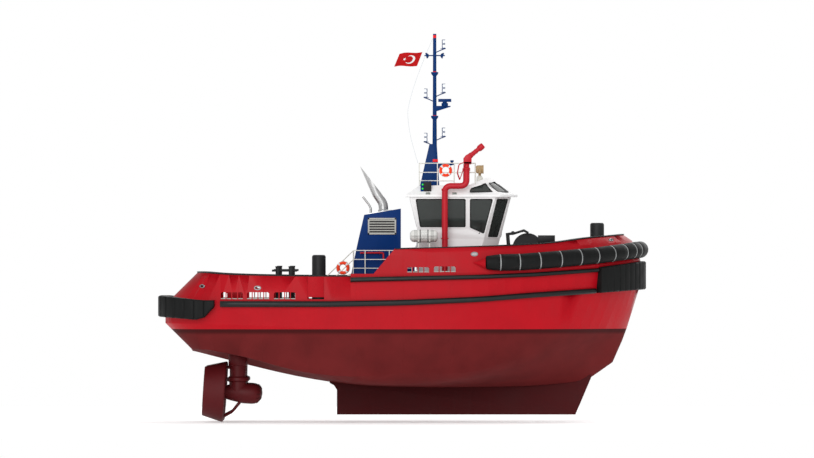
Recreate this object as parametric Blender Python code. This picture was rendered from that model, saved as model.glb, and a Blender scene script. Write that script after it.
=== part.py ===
"""Harbor tug, 24.4 m long, with two azimuth thrusters, at real size.

Metres, +Z up, +X towards the bow and +Y to port. The origin is amidships on the
centreline, at the waterline.
"""

import math

import bmesh
import bpy
from mathutils import Vector

# Running clearances
GAP = 0.0003
MOVING_GAP = 0.006
FLAT_ANGLE = math.radians(0.05)
SIDES = {"starboard": -1, "port": 1}

# Decks and plating
MAIN_DECK = 1.49
FORE_DECK = 2.83
HULL_STEPS = 3
PLATE = 0.04
CAP_INNER = 0.14
CAP_OUTER = 0.02
CAP_HEIGHT = 0.05

# Sections of the hull from the transom to the stem, as port points (x, y, z):
# deck edge, knuckle, chine, bilge, edge of the keel fairing, keel
HULL_SECTIONS = (
    ((-12.17, 3.30, 1.49), (-12.17, 3.30, 0.31), (-10.84, 2.90, -1.02),
     (-10.84, 2.60, -1.06), (-10.84, 1.20, -1.06), (-10.84, 0, -1.14)),
    ((-11.95, 4.20, 1.49), (-11.85, 4.10, 0.30), (-10.80, 3.55, -1.00),
     (-10.78, 3.20, -1.05), (-10.78, 1.20, -1.07), (-10.78, 0, -1.16)),
    ((-11.30, 4.88, 1.49), (-11.15, 4.72, 0.28), (-10.45, 4.05, -1.01),
     (-10.40, 3.70, -1.06), (-10.40, 1.20, -1.09), (-10.40, 0, -1.25)),
    ((-10.00, 5.30, 1.49), (-9.90, 5.15, 0.25), (-9.60, 4.50, -1.10),
     (-9.55, 4.15, -1.15), (-9.55, 1.20, -1.20), (-9.55, 0, -1.47)),
    ((-8.00, 5.52, 1.49), (-8.00, 5.40, 0.20), (-8.00, 4.85, -1.43),
     (-8.00, 4.50, -1.46), (-8.00, 1.15, -1.50), (-8.00, 0, -1.86)),
    ((-5.50, 5.62, 1.49), (-5.50, 5.53, 0.10), (-5.50, 5.10, -2.10),
     (-5.50, 4.60, -2.14), (-5.50, 1.00, -2.20), (-5.50, 0, -2.44)),
    ((-2.68, 5.625, 1.49), (-2.68, 5.56, 0.00), (-2.68, 5.20, -2.42),
     (-2.68, 4.50, -2.70), (-2.68, 0.90, -2.83), (-2.68, 0, -2.88)),
    ((0.50, 5.625, 1.49), (0.50, 5.56, 0.00), (0.50, 5.20, -2.22),
     (0.50, 4.40, -2.80), (0.50, 0.90, -2.97), (0.50, 0, -3.02)),
    ((3.50, 5.58, 1.49), (3.50, 5.48, 0.00), (3.30, 5.00, -2.20),
     (3.30, 4.15, -2.55), (3.30, 0.85, -2.98), (3.30, 0, -3.03)),
    ((6.00, 5.25, 1.70), (6.00, 5.02, 0.00), (5.90, 4.35, -1.50),
     (5.90, 3.20, -2.05), (5.90, 0.70, -2.93), (5.90, 0, -3.00)),
    ((8.00, 4.65, 1.83), (7.90, 4.22, 0.00), (7.70, 3.35, -1.10),
     (7.50, 2.20, -1.90), (7.30, 0.50, -2.86), (7.30, 0, -2.93)),
    ((9.80, 3.65, 1.95), (9.55, 2.98, 0.00), (9.20, 2.05, -0.85),
     (8.80, 1.25, -1.85), (8.30, 0.36, -2.78), (8.30, 0, -2.84)),
    ((11.20, 2.30, 2.02), (10.75, 1.62, 0.00), (10.30, 1.00, -0.72),
     (9.90, 0.55, -1.80), (9.10, 0.25, -2.66), (9.00, 0, -2.75)),
    ((11.95, 1.10, 2.05), (11.35, 0.68, 0.00), (11.00, 0.42, -0.66),
     (10.55, 0.22, -1.75), (9.65, 0.12, -2.46), (9.50, 0, -2.60)),
    ((12.15, 0, 2.06), (11.51, 0, 0.00), (11.27, 0, -0.64),
     (10.79, 0, -1.73), (10.14, 0, -2.19), (9.69, 0, -2.50)),
)
FORECASTLE_START = 6
SKEG_HALF = 0.24
SKEG_OUTLINE = ((-3.40, -2.6), (-3.40, -4.427), (8.875, -4.427), (9.69, -2.50), (9.60, -2.2))
SKEG_FILLET = ((-3.80, -2.6), (-3.77, -2.80), (-3.55, -2.92), (-3.40, -3.15), (-3.2, -3.15), (-3.2, -2.6))

# Fore body above the hull from its aft bulkhead to the stem, as port points:
# edge of the forecastle deck, knuckle of the bulwark, top of the bulwark
BOW_SECTIONS = (
    ((-2.68, 5.60, 2.83), (-2.68, 5.55, 3.60), (-2.68, 5.50, 4.06)),
    ((0.50, 5.62, 2.83), (0.50, 5.55, 3.85), (0.50, 5.50, 4.16)),
    ((3.50, 5.60, 2.88), (3.50, 5.49, 3.95), (3.50, 5.43, 4.25)),
    ((6.05, 5.32, 3.00), (5.95, 5.16, 4.05), (5.85, 5.06, 4.33)),
    ((8.10, 4.78, 3.13), (7.90, 4.56, 4.18), (7.75, 4.42, 4.46)),
    ((9.95, 3.80, 3.28), (9.60, 3.56, 4.33), (9.35, 3.38, 4.68)),
    ((11.35, 2.42, 3.42), (10.95, 2.22, 4.44), (10.55, 2.06, 4.79)),
    ((12.05, 1.15, 3.50), (11.60, 1.06, 4.50), (11.17, 0.98, 4.85)),
    ((12.22, 0, 3.52), (11.79, 0, 4.52), (11.35, 0, 4.87)),
)
BOW_SPLIT = 5
BULWARK_END = ((-3.2, 2.6), (-1.70, 2.6), (-0.42, 4.12), (-0.20, 4.19), (-0.10, 4.6), (-3.2, 4.6))

# Aft bulwark from the transom forwards, as port points: foot, top
AFT_BULWARK = (
    ((-11.944, 3.20, 1.4903), (-10.53, 2.75, 2.94)),
    ((-11.73, 4.03, 1.4903), (-10.42, 3.45, 2.935)),
    ((-11.13, 4.72, 1.4903), (-10.10, 4.18, 2.92)),
    ((-9.93, 5.20, 1.4903), (-9.35, 4.86, 2.86)),
    ((-8.00, 5.49, 1.4903), (-7.85, 5.30, 2.80)),
    ((-5.50, 5.605, 1.4903), (-5.50, 5.455, 2.755)),
    ((-3.71, 5.61, 1.4903), (-3.71, 5.46, 2.74)),
)
STERN_SPLIT = 3
TRANSITION_END = ((-2.6806, 5.61, 1.4903), (-2.6806, 5.60, 2.74))

# Openings in the bulwarks: aft end, fore end, sill and head of each freeing port
AFT_PORTS = ((-9.31, -8.18, 1.53, 1.89), (-7.97, -6.84, 1.53, 1.89), (-6.59, -5.49, 1.53, 1.89))
FORE_PORTS = ((0.22, 1.33, 2.90, 3.17), (1.58, 2.69, 2.92, 3.21))
PORT_BARS = 3
BAR_WIDTH = 0.05
PORT_CORNER = 0.06
AFT_CHOCKS = ((-10.28, 2.20), (-7.43, 2.11))
FORE_CHOCKS = ((3.65, 3.84), (10.68, 4.56))
CHOCK_SIZE = (0.15, 0.08)
GATE_SPAN = (-4.88, -4.03)
GATE_NOTCH = (1.53, 3.2)
GATE_SILL = 1.64
GATE_TOP = 2.745
GATE_FOOT_Y = 5.607
GATE_TOP_Y = 5.458
GATE_PIN = 0.025
GATE_BARRELS = ((0.24, 0.36), (1.00, 1.12))
GATE_PINS = ((0.13, 0.24 - GAP), (0.89, 1.00 - GAP))

# Rubbing rails: (x, height of the centre) along the side, and the profile as shares of depth and height
LOWER_RAIL = ((-9.45, 1.287), (-3.8, 1.287), (0.0, 1.36), (3.96, 1.534), (6.54, 1.74), (9.93, 1.966))
UPPER_RAIL = ((-2.67, 2.533), (0.5, 2.60), (3.96, 2.677), (6.54, 2.79), (9.93, 3.03))
RAIL_PROFILE = ((-0.06, -0.5), (0.62, -0.5), (1.0, -0.22), (1.0, 0.22), (0.62, 0.5), (-0.06, 0.5))
RAIL_END = 9.9
RAIL_DEPTH = 0.22
RAIL_HEIGHT = 0.31
UPPER_RAIL_HEIGHT = 0.24

# Fenders
STERN_FENDER_END = -9.62
STERN_FENDER_DEPTH = 0.38
STERN_FENDER_TOP = 1.485
STERN_FENDER_FOOT = 0.63
STERN_RIB = 0.50
BLOCK_DEPTH = 0.34
BLOCK_START = 9.96
BLOCK_LINE = 2.6
BLOCK_RIB = 0.42
GROOVE_WIDTH = 0.05
GROOVE_DEPTH = 0.05
FENDER_EDGE = 0.06
FENDER_LINE = ((4.22, 3.40), (6.0, 3.43), (8.06, 3.59), (9.95, 3.76), (11.2, 3.92), (12.3, 4.07))
FENDER_START = 4.22
FENDER_RADIUS = 0.455
FENDER_OFFSET = 0.215
FENDER_SIDES = 12

# Houses. Windows as outlines (x, z) in the sides and (y, z) from their starts in the ends,
# and the corner window as (height, first share, last share) of the slanting wall
HOUSE_SEAM = 4.62
SILL_HEIGHT = 5.09
EAVE_HEIGHT = 6.77
WALL = 0.09
CEILING = 0.06
GLASS_OUTER = WALL + 0.012
GLASS_INNER = WALL + 0.032
HOUSE_AFT = 0.74
DOOR_SIZE = (0.66, 1.56)
DOOR_FOOT = 3.00
DOOR_REBATE = 0.04
DOOR_HINGES = (0.25, 1.15)
DOOR_PIN = 0.022
SIDE_WINDOWS = (
    ((0.64, 6.67), (3.22, 6.67), (3.22, 5.21), (0.87, 5.21)),
    ((3.43, 6.67), (4.63, 6.67), (4.16, 4.86), (3.43, 5.19)),
)
CORNER_WINDOW = ((6.67, 0.13, 0.88), (4.70, 0.20, 0.84))
FRONT_WINDOW = ((0, 6.67), (1.08, 6.67), (1.04, 4.72), (0.04, 4.72))
AFT_WINDOW = ((0, 6.60), (1.70, 6.60), (1.60, 5.30), (0.10, 5.30))
END_WINDOWS = ((FRONT_WINDOW, (-1.14, 0.06), 4.3, 6.0), (AFT_WINDOW, (-1.95, 0.25), 0.1, 1.1))
EAVE_OUTLINE = ((0.13, 2.62), (5.00, 2.62), (5.88, 1.55))
EAVE_TOP = 6.89
ROOF_PLATE = 0.075
SIDE_SKYLIGHT = ((3.45, 7.03), (3.485, 7.22), (4.226, 7.454), (4.60, 7.047))
FRONT_SKYLIGHT = ((4.43, 7.47), (4.70, 7.56), (5.40, 7.02), (4.90, 7.02))

# Exhaust casings, as outlines (x, z) and spans across the ship
CASING_SPAN = (1.50, 2.75)
CASING_OUTLINE = (
    (-2.66, FORE_DECK - 0.05), (-2.54, 3.40), (-2.29, 4.56), (-1.99, 5.85), (-0.11, 6.17), (-0.11, 3.6),
    (0.60, 3.3), (0.60, FORE_DECK - 0.05),
)
LOUVRE = ((-1.79, 4.85), (-0.36, 5.68))
LOUVRE_SUNK = 0.05
LOUVRE_PROUD = 0.03
LOUVRE_SLOTS = 5
EXHAUST_Y = 2.1
EXHAUST_LINE = ((-0.99, 5.9), (-1.02, 6.45), (-1.34, 6.92), (-2.10, 8.72))
EXHAUST_BORE_LINE = ((-1.16, 6.66), (-1.34, 6.92), (-2.25, 9.08))
EXHAUST_RADIUS = 0.24
EXHAUST_BORE = 0.20
EXHAUST_SEAT = ((-1.85, 5.84), (-0.6, 6.05), (-0.6, 6.12), (-1.85, 5.91))
EXHAUST_MOUTH = ((-2.22, 8.37), (-0.84, 6.61), (-0.2, 6.0), (0.3, 9.5), (-3.2, 9.6))
SMALL_EXHAUST_LINE = ((-1.66, 5.8), (-1.66, 6.20), (-1.76, 6.40), (-2.06, 6.78))

# Mast. The trunk's corners are (x, half width, z), turned parts are (radius, place), lantern arms are
# (height, way along x), and each radar has (x, height of its seat)
MAST_X = 1.63
MAST_TRUNK = ((0.85, 0.30, 7.25), (1.88, 0.30, 7.25), (1.36, 0.11, 9.50), (1.74, 0.11, 9.50))
MAST_POLE = ((0.115, 0), (0.095, 3.0), (0.085, 6.10))
MAST_COLLARS = (13.0, 10.75)
LANTERN_ARMS = ((14.42, 1), (12.15, 1), (9.89, 1), (11.90, -1), (9.62, -1))
LANTERN = ((0.075, 0), (0.075, 0.20), (0.045, 0.23), (0.075, 0.26), (0.075, 0.47))
LAMP_ROD = 14.05
FLOODLIGHT = ((0.14, -0.13), (0.14, 0.02), (0.09, 0.13))
UPPER_RADAR = (2.15, 11.61)
LOWER_RADAR = (2.52, 8.54)

# Fire mains and monitors, in outlines (x, z)
FIRE_MAIN_X = 2.145
FIRE_MAIN_Y = 2.80
FIRE_MAIN_RADIUS = 0.155
MONITOR_SEAT = (3.26, 8.18)
MONITOR_EAR = ((3.12, 8.46), (3.52, 8.46), (3.52, 8.80), (3.43, 8.93), (3.24, 8.93), (3.12, 8.78))
MONITOR_LEVER = ((3.16, 8.55), (2.88, 8.45), (2.80, 8.0), (2.92, 7.66))
BARREL_PIVOT = (3.33, 8.78)
BARREL_RISE = math.radians(39)
BARREL = (
    (0.13, -0.13), (0.15, 0.0), (0.14, 0.22), (0.12, 0.30),
    (0.12, 0.72), (0.16, 0.76), (0.16, 0.96), (0.13, 1.02),
)
SEARCHLIGHT = (3.95, 7.87)

# Rails and liferafts
RAIL_RADIUS = 0.022
POST_RADIUS = 0.025
ROOF_RAIL_Y = 1.98
ROOF_RAILS = (8.50, 8.03)
ROOF_LOW_RAIL = 7.60
ROOF_POSTS = (0.84, 1.77, 2.64, 3.72)
CASING_RAILS = (4.02, 3.56, 3.11)
CASING_POSTS = (-2.55, -1.94, -0.70, 0.45)
STAIR_SPAN = (2.30, 3.10)
STAIR_STEPS = 5
STRINGER = ((-2.69, 2.60), (-2.69, 2.80), (-2.80, 2.80), (-4.02, 1.60), (-4.02, 1.45), (-3.86, 1.45))
RAFT = (
    (0.13, 0.36), (0.24, 0.42), (0.305, 0.52), (0.305, 0.72), (0.325, 0.74), (0.325, 1.42), (0.305, 1.44),
    (0.305, 1.64), (0.24, 1.74), (0.13, 1.79),
)
RAFT_PLACE = (3.35, 4.76)
RAFT_CRADLES = (0.80, 1.36)

# Deck gear. The winch's bow is pipes (points (x, z), radius), its rollers are (x, z, radius, sides)
WINCH_SHAFT = (6.41, 4.14)
WINCH_STAND = 1.10
WINCH_BOW = (
    (((5.52, 3.15), (5.38, 4.92)), 0.09),
    (((5.62, 4.86), (6.22, 5.05), (6.45, 4.92)), 0.06),
    (((5.40, 4.86), (5.70, 4.90)), 0.07),
)
WINCH_ROLLERS = ((5.66, 4.92, 0.10, 8), (6.15, 5.02, 0.07, 6))
WINCH_DRUM = ((0.19, 1.02 - GAP), (0.19, 0.80), (0.77, 0.80), (0.77, 0.74), (0.58, 0.74))
STAPLE_RADIUS = 0.35
STAPLE_SPREAD = 0.68
BITTS_X = (-6.39, -5.72)
BITTS_Y = 4.70
HATCH_X = -8.60
HATCH_HALF = 0.45
HATCH_HEIGHT = 0.45
HATCH_HINGES = (-0.28, 0.16)

# Machinery below, as (radius, place) profiles, and the blade as (radius, chord, half thickness, pitch)
THRUSTER_X = -8.46
THRUSTER_Y = 2.70
SHAFT_HEIGHT = -3.29
SHAFT_TILT = math.radians(3.6)
PAD_FOOT = -1.89
POD_STEM = ((0.42, -2.46), (0.55, -2.50), (0.57, -2.66), (0.45, -2.72), (0.45, -3.40))
GEARCASE = (
    (0.10, -1.19), (0.32, -1.12), (0.46, -0.95), (0.51, -0.70),
    (0.51, -0.30), (0.46, 0.0), (0.40, 0.35), (0.27, 0.86),
)
NOZZLE_START = 0.66
NOZZLE = ((1.20, 0.0), (1.50, 0.03), (1.525, 0.10), (1.26, 1.10), (1.15, 1.12), (1.07, 0.70), (1.07, 0.30))
BLADES = 4
BLADE = ((0.18, 0.30, 0.035, 52), (0.50, 0.52, 0.035, 38), (0.82, 0.56, 0.035, 28), (1.00, 0.30, 0.02, 24))

PAINTS = {
    "red": ((0.41, 0.009, 0.016), 0.35, 0.0),
    "antifouling": ((0.13, 0.018, 0.018), 0.6, 0.0),
    "blue": ((0.002, 0.031, 0.137), 0.3, 0.0),
    "white": ((0.86, 0.86, 0.86), 0.35, 0.0),
    "black": ((0.012, 0.012, 0.012), 0.7, 0.0),
    "machinery": ((0.02, 0.02, 0.021), 0.45, 0.2),
    "glass": ((0.05, 0.056, 0.055), 0.08, 0.0),
    "fire_red": ((0.53, 0.03, 0.04), 0.35, 0.0),
    "steel": ((0.45, 0.45, 0.45), 0.3, 0.9),
    "bronze": ((0.45, 0.30, 0.12), 0.35, 0.9),
    "raft_white": ((0.6, 0.6, 0.58), 0.4, 0.0),
}


def paint(name):
    """The material of this name, made once."""
    if name in bpy.data.materials:
        return bpy.data.materials[name]
    material = bpy.data.materials.new(name)
    material.use_nodes = True
    shader = material.node_tree.nodes["Principled BSDF"]
    color, roughness, metallic = PAINTS[name]
    shader.inputs["Base Color"].default_value = (*color, 1.0)
    shader.inputs["Roughness"].default_value = roughness
    shader.inputs["Metallic"].default_value = metallic
    material.diffuse_color = (*color, 1.0)
    return material


# Shapes, each a closed bmesh

def closed(bm):
    """Weld the shape and point its faces outwards."""
    bmesh.ops.remove_doubles(bm, verts=bm.verts, dist=1e-5)
    bmesh.ops.dissolve_degenerate(bm, edges=bm.edges, dist=1e-6)
    bmesh.ops.triangulate(bm, faces=bm.faces)
    bmesh.ops.recalc_face_normals(bm, faces=bm.faces)
    flatten(bm)
    return bm


def flatten(bm):
    """Join triangles that lie in one plane, and leave out points along straight edges."""
    bmesh.ops.dissolve_limit(bm, angle_limit=FLAT_ANGLE, verts=bm.verts, edges=bm.edges)


def loft(rings):
    """A skin over the rings of points, closed at both ends."""
    bm = bmesh.new()
    rows = [[bm.verts.new(point) for point in ring] for ring in rings]
    count = len(rows[0])
    for near, far in zip(rows, rows[1:]):
        for i in range(count):
            j = (i + 1) % count
            bm.faces.new((near[i], near[j], far[j], far[i]))
    bm.faces.new(rows[0])
    bm.faces.new(rows[-1])
    return closed(bm)


def half_loft(rows):
    """A body mirrored about the centreline from rows of port points, top to keel."""
    bm = bmesh.new()
    port = [[bm.verts.new(point) for point in row] for row in rows]
    starboard = [[bm.verts.new((point[0], -point[1], point[2])) for point in row] for row in rows]
    last = len(rows[0]) - 1
    for i in range(len(rows) - 1):
        for j in range(last):
            bm.faces.new((port[i][j], port[i][j + 1], port[i + 1][j + 1], port[i + 1][j]))
            bm.faces.new((starboard[i][j], starboard[i + 1][j], starboard[i + 1][j + 1], starboard[i][j + 1]))
        bm.faces.new((port[i][0], port[i + 1][0], starboard[i + 1][0], starboard[i][0]))
        bm.faces.new((port[i][last], starboard[i][last], starboard[i + 1][last], port[i + 1][last]))
    for end in (0, len(rows) - 1):
        for j in range(last):
            bm.faces.new((port[end][j], starboard[end][j], starboard[end][j + 1], port[end][j + 1]))
    return closed(bm)


def prism(outline, low, high, axis="Y"):
    """A solid whose outline, in the plane across axis, is drawn from low to high."""
    places = {
        "X": lambda u, v, w: (w, u, v),
        "Y": lambda u, v, w: (u, w, v),
        "Z": lambda u, v, w: (u, v, w),
    }
    place = places[axis]
    return loft([[place(u, v, w) for u, v in outline] for w in (low, high)])


def box(low, high):
    """A block between two corners."""
    outline = ((low[0], low[1]), (high[0], low[1]), (high[0], high[1]), (low[0], high[1]))
    return prism(outline, low[2], high[2], "Z")


def hull_of(points):
    """The convex solid around the points."""
    bm = bmesh.new()
    for point in points:
        bm.verts.new(point)
    bmesh.ops.convex_hull(bm, input=bm.verts)
    return closed(bm)


def turned(profile, sides, centre=(0, 0, 0), axis=(0, 0, 1)):
    """A turned solid from (radius, place along the axis) pairs."""
    turn = Vector((0, 0, 1)).rotation_difference(Vector(axis))
    rings = []
    for radius, height in profile:
        ring = []
        for i in range(sides):
            angle = 2 * math.pi * (i + 0.5) / sides
            point = Vector((radius * math.cos(angle), radius * math.sin(angle), height))
            ring.append(turn @ point + Vector(centre))
        rings.append(ring)
    return loft(rings)


def tube(points, radius, sides=8):
    """A round bar along the points, mitred at its bends."""
    points = [Vector(point) for point in points]
    steps = [(b - a).normalized() for a, b in zip(points, points[1:])]
    side = steps[0].orthogonal().normalized()
    rings = []
    for i, point in enumerate(points):
        before = steps[max(i - 1, 0)]
        after = steps[min(i, len(steps) - 1)]
        if i > 0:
            side = (side - before * side.dot(before)).normalized()
        up = before.cross(side)
        across = (before + after).normalized()
        ring = []
        for k in range(sides):
            angle = 2 * math.pi * (k + 0.5) / sides
            arm = side * math.cos(angle) * radius + up * math.sin(angle) * radius
            arm -= before * (arm.dot(across) / before.dot(across))
            ring.append(point + arm)
        rings.append(ring)
        side = (side - after * side.dot(after)).normalized()
    return loft(rings)


def bend(start, corner, end, radius, steps=3):
    """Points round the corner from start towards end, at this radius."""
    start, corner, end = Vector(start), Vector(corner), Vector(end)
    into = (start - corner).normalized()
    out = (end - corner).normalized()
    half = into.angle(out) / 2
    reach = radius / math.tan(half)
    centre = corner + (into + out).normalized() * radius / math.sin(half)
    first = corner + into * reach - centre
    last = corner + out * reach - centre
    return [centre + first.slerp(last, i / steps) * radius / first.slerp(last, i / steps).length
            for i in range(steps + 1)]


def merged(shapes):
    """One bmesh that holds all the shapes."""
    whole = bmesh.new()
    for shape in shapes:
        scratch = bpy.data.meshes.new("scratch")
        shape.to_mesh(scratch)
        shape.free()
        whole.from_mesh(scratch)
        bpy.data.meshes.remove(scratch)
    return whole


# Objects

def piece(name, bm, material):
    """A named object with this shape and material."""
    mesh = bpy.data.meshes.new(name)
    bm.to_mesh(mesh)
    bm.free()
    obj = bpy.data.objects.new(name, mesh)
    bpy.context.scene.collection.objects.link(obj)
    mesh.materials.append(paint(material))
    return obj


def cutter(shapes):
    """A hidden object that holds the shapes, for one boolean."""
    obj = piece("cutter", merged(shapes), "steel")
    obj.hide_render = True
    obj.display_type = "WIRE"
    return obj


def boolean(target, other, operation):
    """Join other to target, or cut it away, and keep the result as target's mesh."""
    modifier = target.modifiers.new("shape", "BOOLEAN")
    modifier.operation = operation
    modifier.solver = "EXACT"
    modifier.use_self = True
    modifier.object = other
    graph = bpy.context.evaluated_depsgraph_get()
    result = bpy.data.meshes.new_from_object(target.evaluated_get(graph))
    target.modifiers.clear()
    bm = bmesh.new()
    bm.from_mesh(result)
    bmesh.ops.remove_doubles(bm, verts=bm.verts, dist=2e-5)
    bmesh.ops.dissolve_degenerate(bm, edges=bm.edges, dist=2e-5)
    flatten(bm)
    bm.to_mesh(target.data)
    bm.free()
    bpy.data.meshes.remove(result)
    bpy.data.objects.remove(other, do_unlink=True)


def fused(name, shapes, material):
    """One object joined from shapes that overlap."""
    obj = piece(name, shapes[0], material)
    boolean(obj, cutter(shapes[1:]), "UNION")
    return obj


def cut(target, shapes):
    """Take the shapes away from target."""
    boolean(target, cutter(shapes), "DIFFERENCE")


def bodies(bm):
    """The shape's separate bodies, each a set of faces, with its volume."""
    left = set(bm.faces)
    found = []
    while left:
        start = left.pop()
        body, front = {start}, [start]
        while front:
            for edge in front.pop().edges:
                for face in edge.link_faces:
                    if face in left:
                        left.discard(face)
                        body.add(face)
                        front.append(face)
        volume = 0.0
        for face in body:
            corners = [v.co for v in face.verts]
            for b, c in zip(corners[1:], corners[2:]):
                volume += corners[0].dot(b.cross(c)) / 6
        found.append((volume, body))
    return sorted(found, key=lambda entry: entry[0])


def drop_offcuts(obj):
    """Keep the largest body only: what a cut leaves beyond a wall is waste."""
    bm = bmesh.new()
    bm.from_mesh(obj.data)
    for _, body in bodies(bm)[:-1]:
        bmesh.ops.delete(bm, geom=list(body), context="FACES")
    bm.to_mesh(obj.data)
    bm.free()


def swollen(obj, by):
    """The shape of obj with its faces moved out by this much."""
    bm = bmesh.new()
    bm.from_mesh(obj.data)
    bm.normal_update()
    moves = [(v, v.normal * by * min(v.calc_shell_factor(), 3.0)) for v in bm.verts]
    for vert, move in moves:
        vert.co += move
    return bm


def clear_of(target, *neighbours):
    """Cut target back to a fine gap from each neighbour."""
    for neighbour in neighbours:
        boolean(target, cutter([swollen(neighbour, GAP)]), "DIFFERENCE")
    drop_offcuts(target)


# Lines along the ship

def smooth(rows, steps, round_end=False):
    """Rows on smooth curves through the given ones, steps to each stretch."""
    points = [[Vector(point) for point in row] for row in rows]
    count = len(points)
    if round_end:
        points.append([Vector((p.x, -p.y, p.z)) for p in points[-2]])
    spans = [(b[0] - a[0]).length for a, b in zip(points, points[1:])]

    def slope(i, k):
        if i == 0:
            return (points[1][k] - points[0][k]) / spans[0]
        if i == len(points) - 1:
            return (points[i][k] - points[i - 1][k]) / spans[i - 1]
        before = (points[i][k] - points[i - 1][k]) / spans[i - 1]
        after = (points[i + 1][k] - points[i][k]) / spans[i]
        return (before * spans[i] + after * spans[i - 1]) / (spans[i] + spans[i - 1])

    result = []
    for i in range(count - 1):
        for step in range(steps):
            t = step / steps
            row = []
            for k in range(len(points[i])):
                a, b = points[i][k], points[i + 1][k]
                m, n = slope(i, k) * spans[i], slope(i + 1, k) * spans[i]
                row.append(a * (2 * t**3 - 3 * t**2 + 1) + m * (t**3 - 2 * t**2 + t)
                           + b * (3 * t**2 - 2 * t**3) + n * (t**3 - t**2))
            result.append(row)
    result.append(points[count - 1])
    return result


def mirrored(point):
    """The same point on the other side."""
    return Vector((point[0], -point[1], point[2]))


def at_side(points, sign):
    """Port points as they are, or mirrored to starboard."""
    return [Vector(p) if sign > 0 else mirrored(p) for p in points]


def table_height(table, x):
    """The value at x of a table of (x, value) rows."""
    for (x0, v0), (x1, v1) in zip(table, table[1:]):
        if x <= x1:
            return v0 + (v1 - v0) * max(x - x0, 0) / (x1 - x0)
    return table[-1][1]


def plan_normals(path):
    """Level normals of a path, pointing away from the ship's centre."""
    normals = []
    for i in range(len(path)):
        a, b = path[max(i - 1, 0)], path[min(i + 1, len(path) - 1)]
        along = b - a
        normal = Vector((along.y, -along.x, 0)).normalized()
        if normal.dot(Vector((path[i].x * 0.25, path[i].y, 0))) < 0:
            normal = -normal
        normals.append(normal)
    return normals


def strip(path, profile_at):
    """A body along the path, whose profile (outwards, upwards) may change on the way."""
    normals = plan_normals(path)
    rings = []
    for i, (point, normal) in enumerate(zip(path, normals)):
        rings.append([point + normal * out + Vector((0, 0, up)) for out, up in profile_at(i, point)])
    return loft(rings)


# Hull and forecastle

def side_point(row, low, high, height):
    """The point at this height between two lines of a section."""
    a, b = row[low], row[high]
    part = (height - a.z) / (b.z - a.z)
    return a.lerp(b, part)


def make_hull(rows):
    """The decked hull up to the main deck."""
    return piece("hull", half_loft(rows), "red")


def make_forecastle(rows, bow):
    """The raised fore body, from its aft bulkhead to the stem."""
    lift = Vector((0, 0, GAP))
    start = FORECASTLE_START * HULL_STEPS
    sections = [[b[0], h[0] + lift] for b, h in zip(bow, rows[start:])]
    return piece("forecastle", half_loft(sections), "red")


def make_skeg(hull):
    """The box keel below the hull, cut to the bottom's shape."""
    shapes = [prism(outline, -SKEG_HALF, SKEG_HALF) for outline in (SKEG_OUTLINE, SKEG_FILLET)]
    skeg = fused("skeg", shapes, "antifouling")
    clear_of(skeg, hull)


# Bulwarks

def plating(line, normals):
    """Rings of a bulwark from its lines, foot to top, with a cap rail."""
    rings = []
    for points, normal in zip(line, normals):
        top = points[-1]
        under = top - Vector((0, 0, CAP_HEIGHT))
        outer = list(points[:-1]) + [under]
        inner = [p - normal * PLATE for p in reversed(outer)]
        crown = [under + normal * CAP_OUTER, top + normal * CAP_OUTER,
                 top - normal * CAP_INNER, under - normal * CAP_INNER]
        rings.append(outer + crown + inner)
    return rings


def freeing_port_cells(ports):
    """Cutters for the cells between the bars of each freeing port."""
    cells = []
    for aft, fore, sill, head in ports:
        pitch = (fore - aft + BAR_WIDTH) / (PORT_BARS + 1)
        for i in range(PORT_BARS + 1):
            low = aft + i * pitch
            high = low + pitch - BAR_WIDTH
            outline = [(low, sill), (high, sill)]
            if i == PORT_BARS:
                outline += [(high, head - PORT_CORNER), (high - PORT_CORNER, head)]
            else:
                outline.append((high, head))
            if i == 0:
                outline += [(low + PORT_CORNER, head), (low, head - PORT_CORNER)]
            else:
                outline.append((low, head))
            cells.append(outline)
    return cells


def oval(centre, size, sides=12):
    """Points of an oval."""
    return [(centre[0] + size[0] * math.cos(2 * math.pi * i / sides),
             centre[1] + size[1] * math.sin(2 * math.pi * i / sides)) for i in range(sides)]


def side_cut(outline, sign, near=0.8, far=6.5):
    """A cutter through one side of the ship."""
    low, high = sorted((sign * near, sign * far))
    return prism(outline, low, high)


def aft_bulwark_lines():
    """The aft bulwark's smooth lines with its straight end at the forecastle."""
    rows = smooth(AFT_BULWARK, HULL_STEPS)
    rows.append([Vector(p) for p in TRANSITION_END])
    return rows


def make_aft_bulwarks():
    """Stern plating round the transom and one plating on each side."""
    rows = aft_bulwark_lines()
    split = STERN_SPLIT * HULL_STEPS
    normals = plan_normals([row[0] for row in rows])
    port, faces = rows[:split + 1], normals[:split + 1]
    around = [at_side(row, -1) for row in reversed(port)] + [at_side(row, 1) for row in port]
    turns = [mirrored(n) for n in reversed(faces)] + list(faces)
    stern = piece("bulwark_stern", loft(plating(around, turns)), "red")
    cut(stern, [side_cut(oval(AFT_CHOCKS[0], CHOCK_SIZE), sign) for sign in SIDES.values()])
    result = {"stern": stern}
    for side, sign in SIDES.items():
        lines = [at_side(row, sign) for row in rows[split:]]
        faces = [n if sign > 0 else mirrored(n) for n in normals[split:]]
        lines[0] = [p + (q - p).normalized() * GAP for p, q in zip(lines[0], lines[1])]
        bulwark = piece("bulwark_aft_" + side, loft(plating(lines, faces)), "red")
        outlines = freeing_port_cells(AFT_PORTS)
        outlines.append(oval(AFT_CHOCKS[1], CHOCK_SIZE))
        outlines.append([(GATE_SPAN[i], GATE_NOTCH[j]) for i, j in ((0, 0), (1, 0), (1, 1), (0, 1))])
        cut(bulwark, [side_cut(outline, sign) for outline in outlines])
        result[side] = bulwark
    return result


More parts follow.
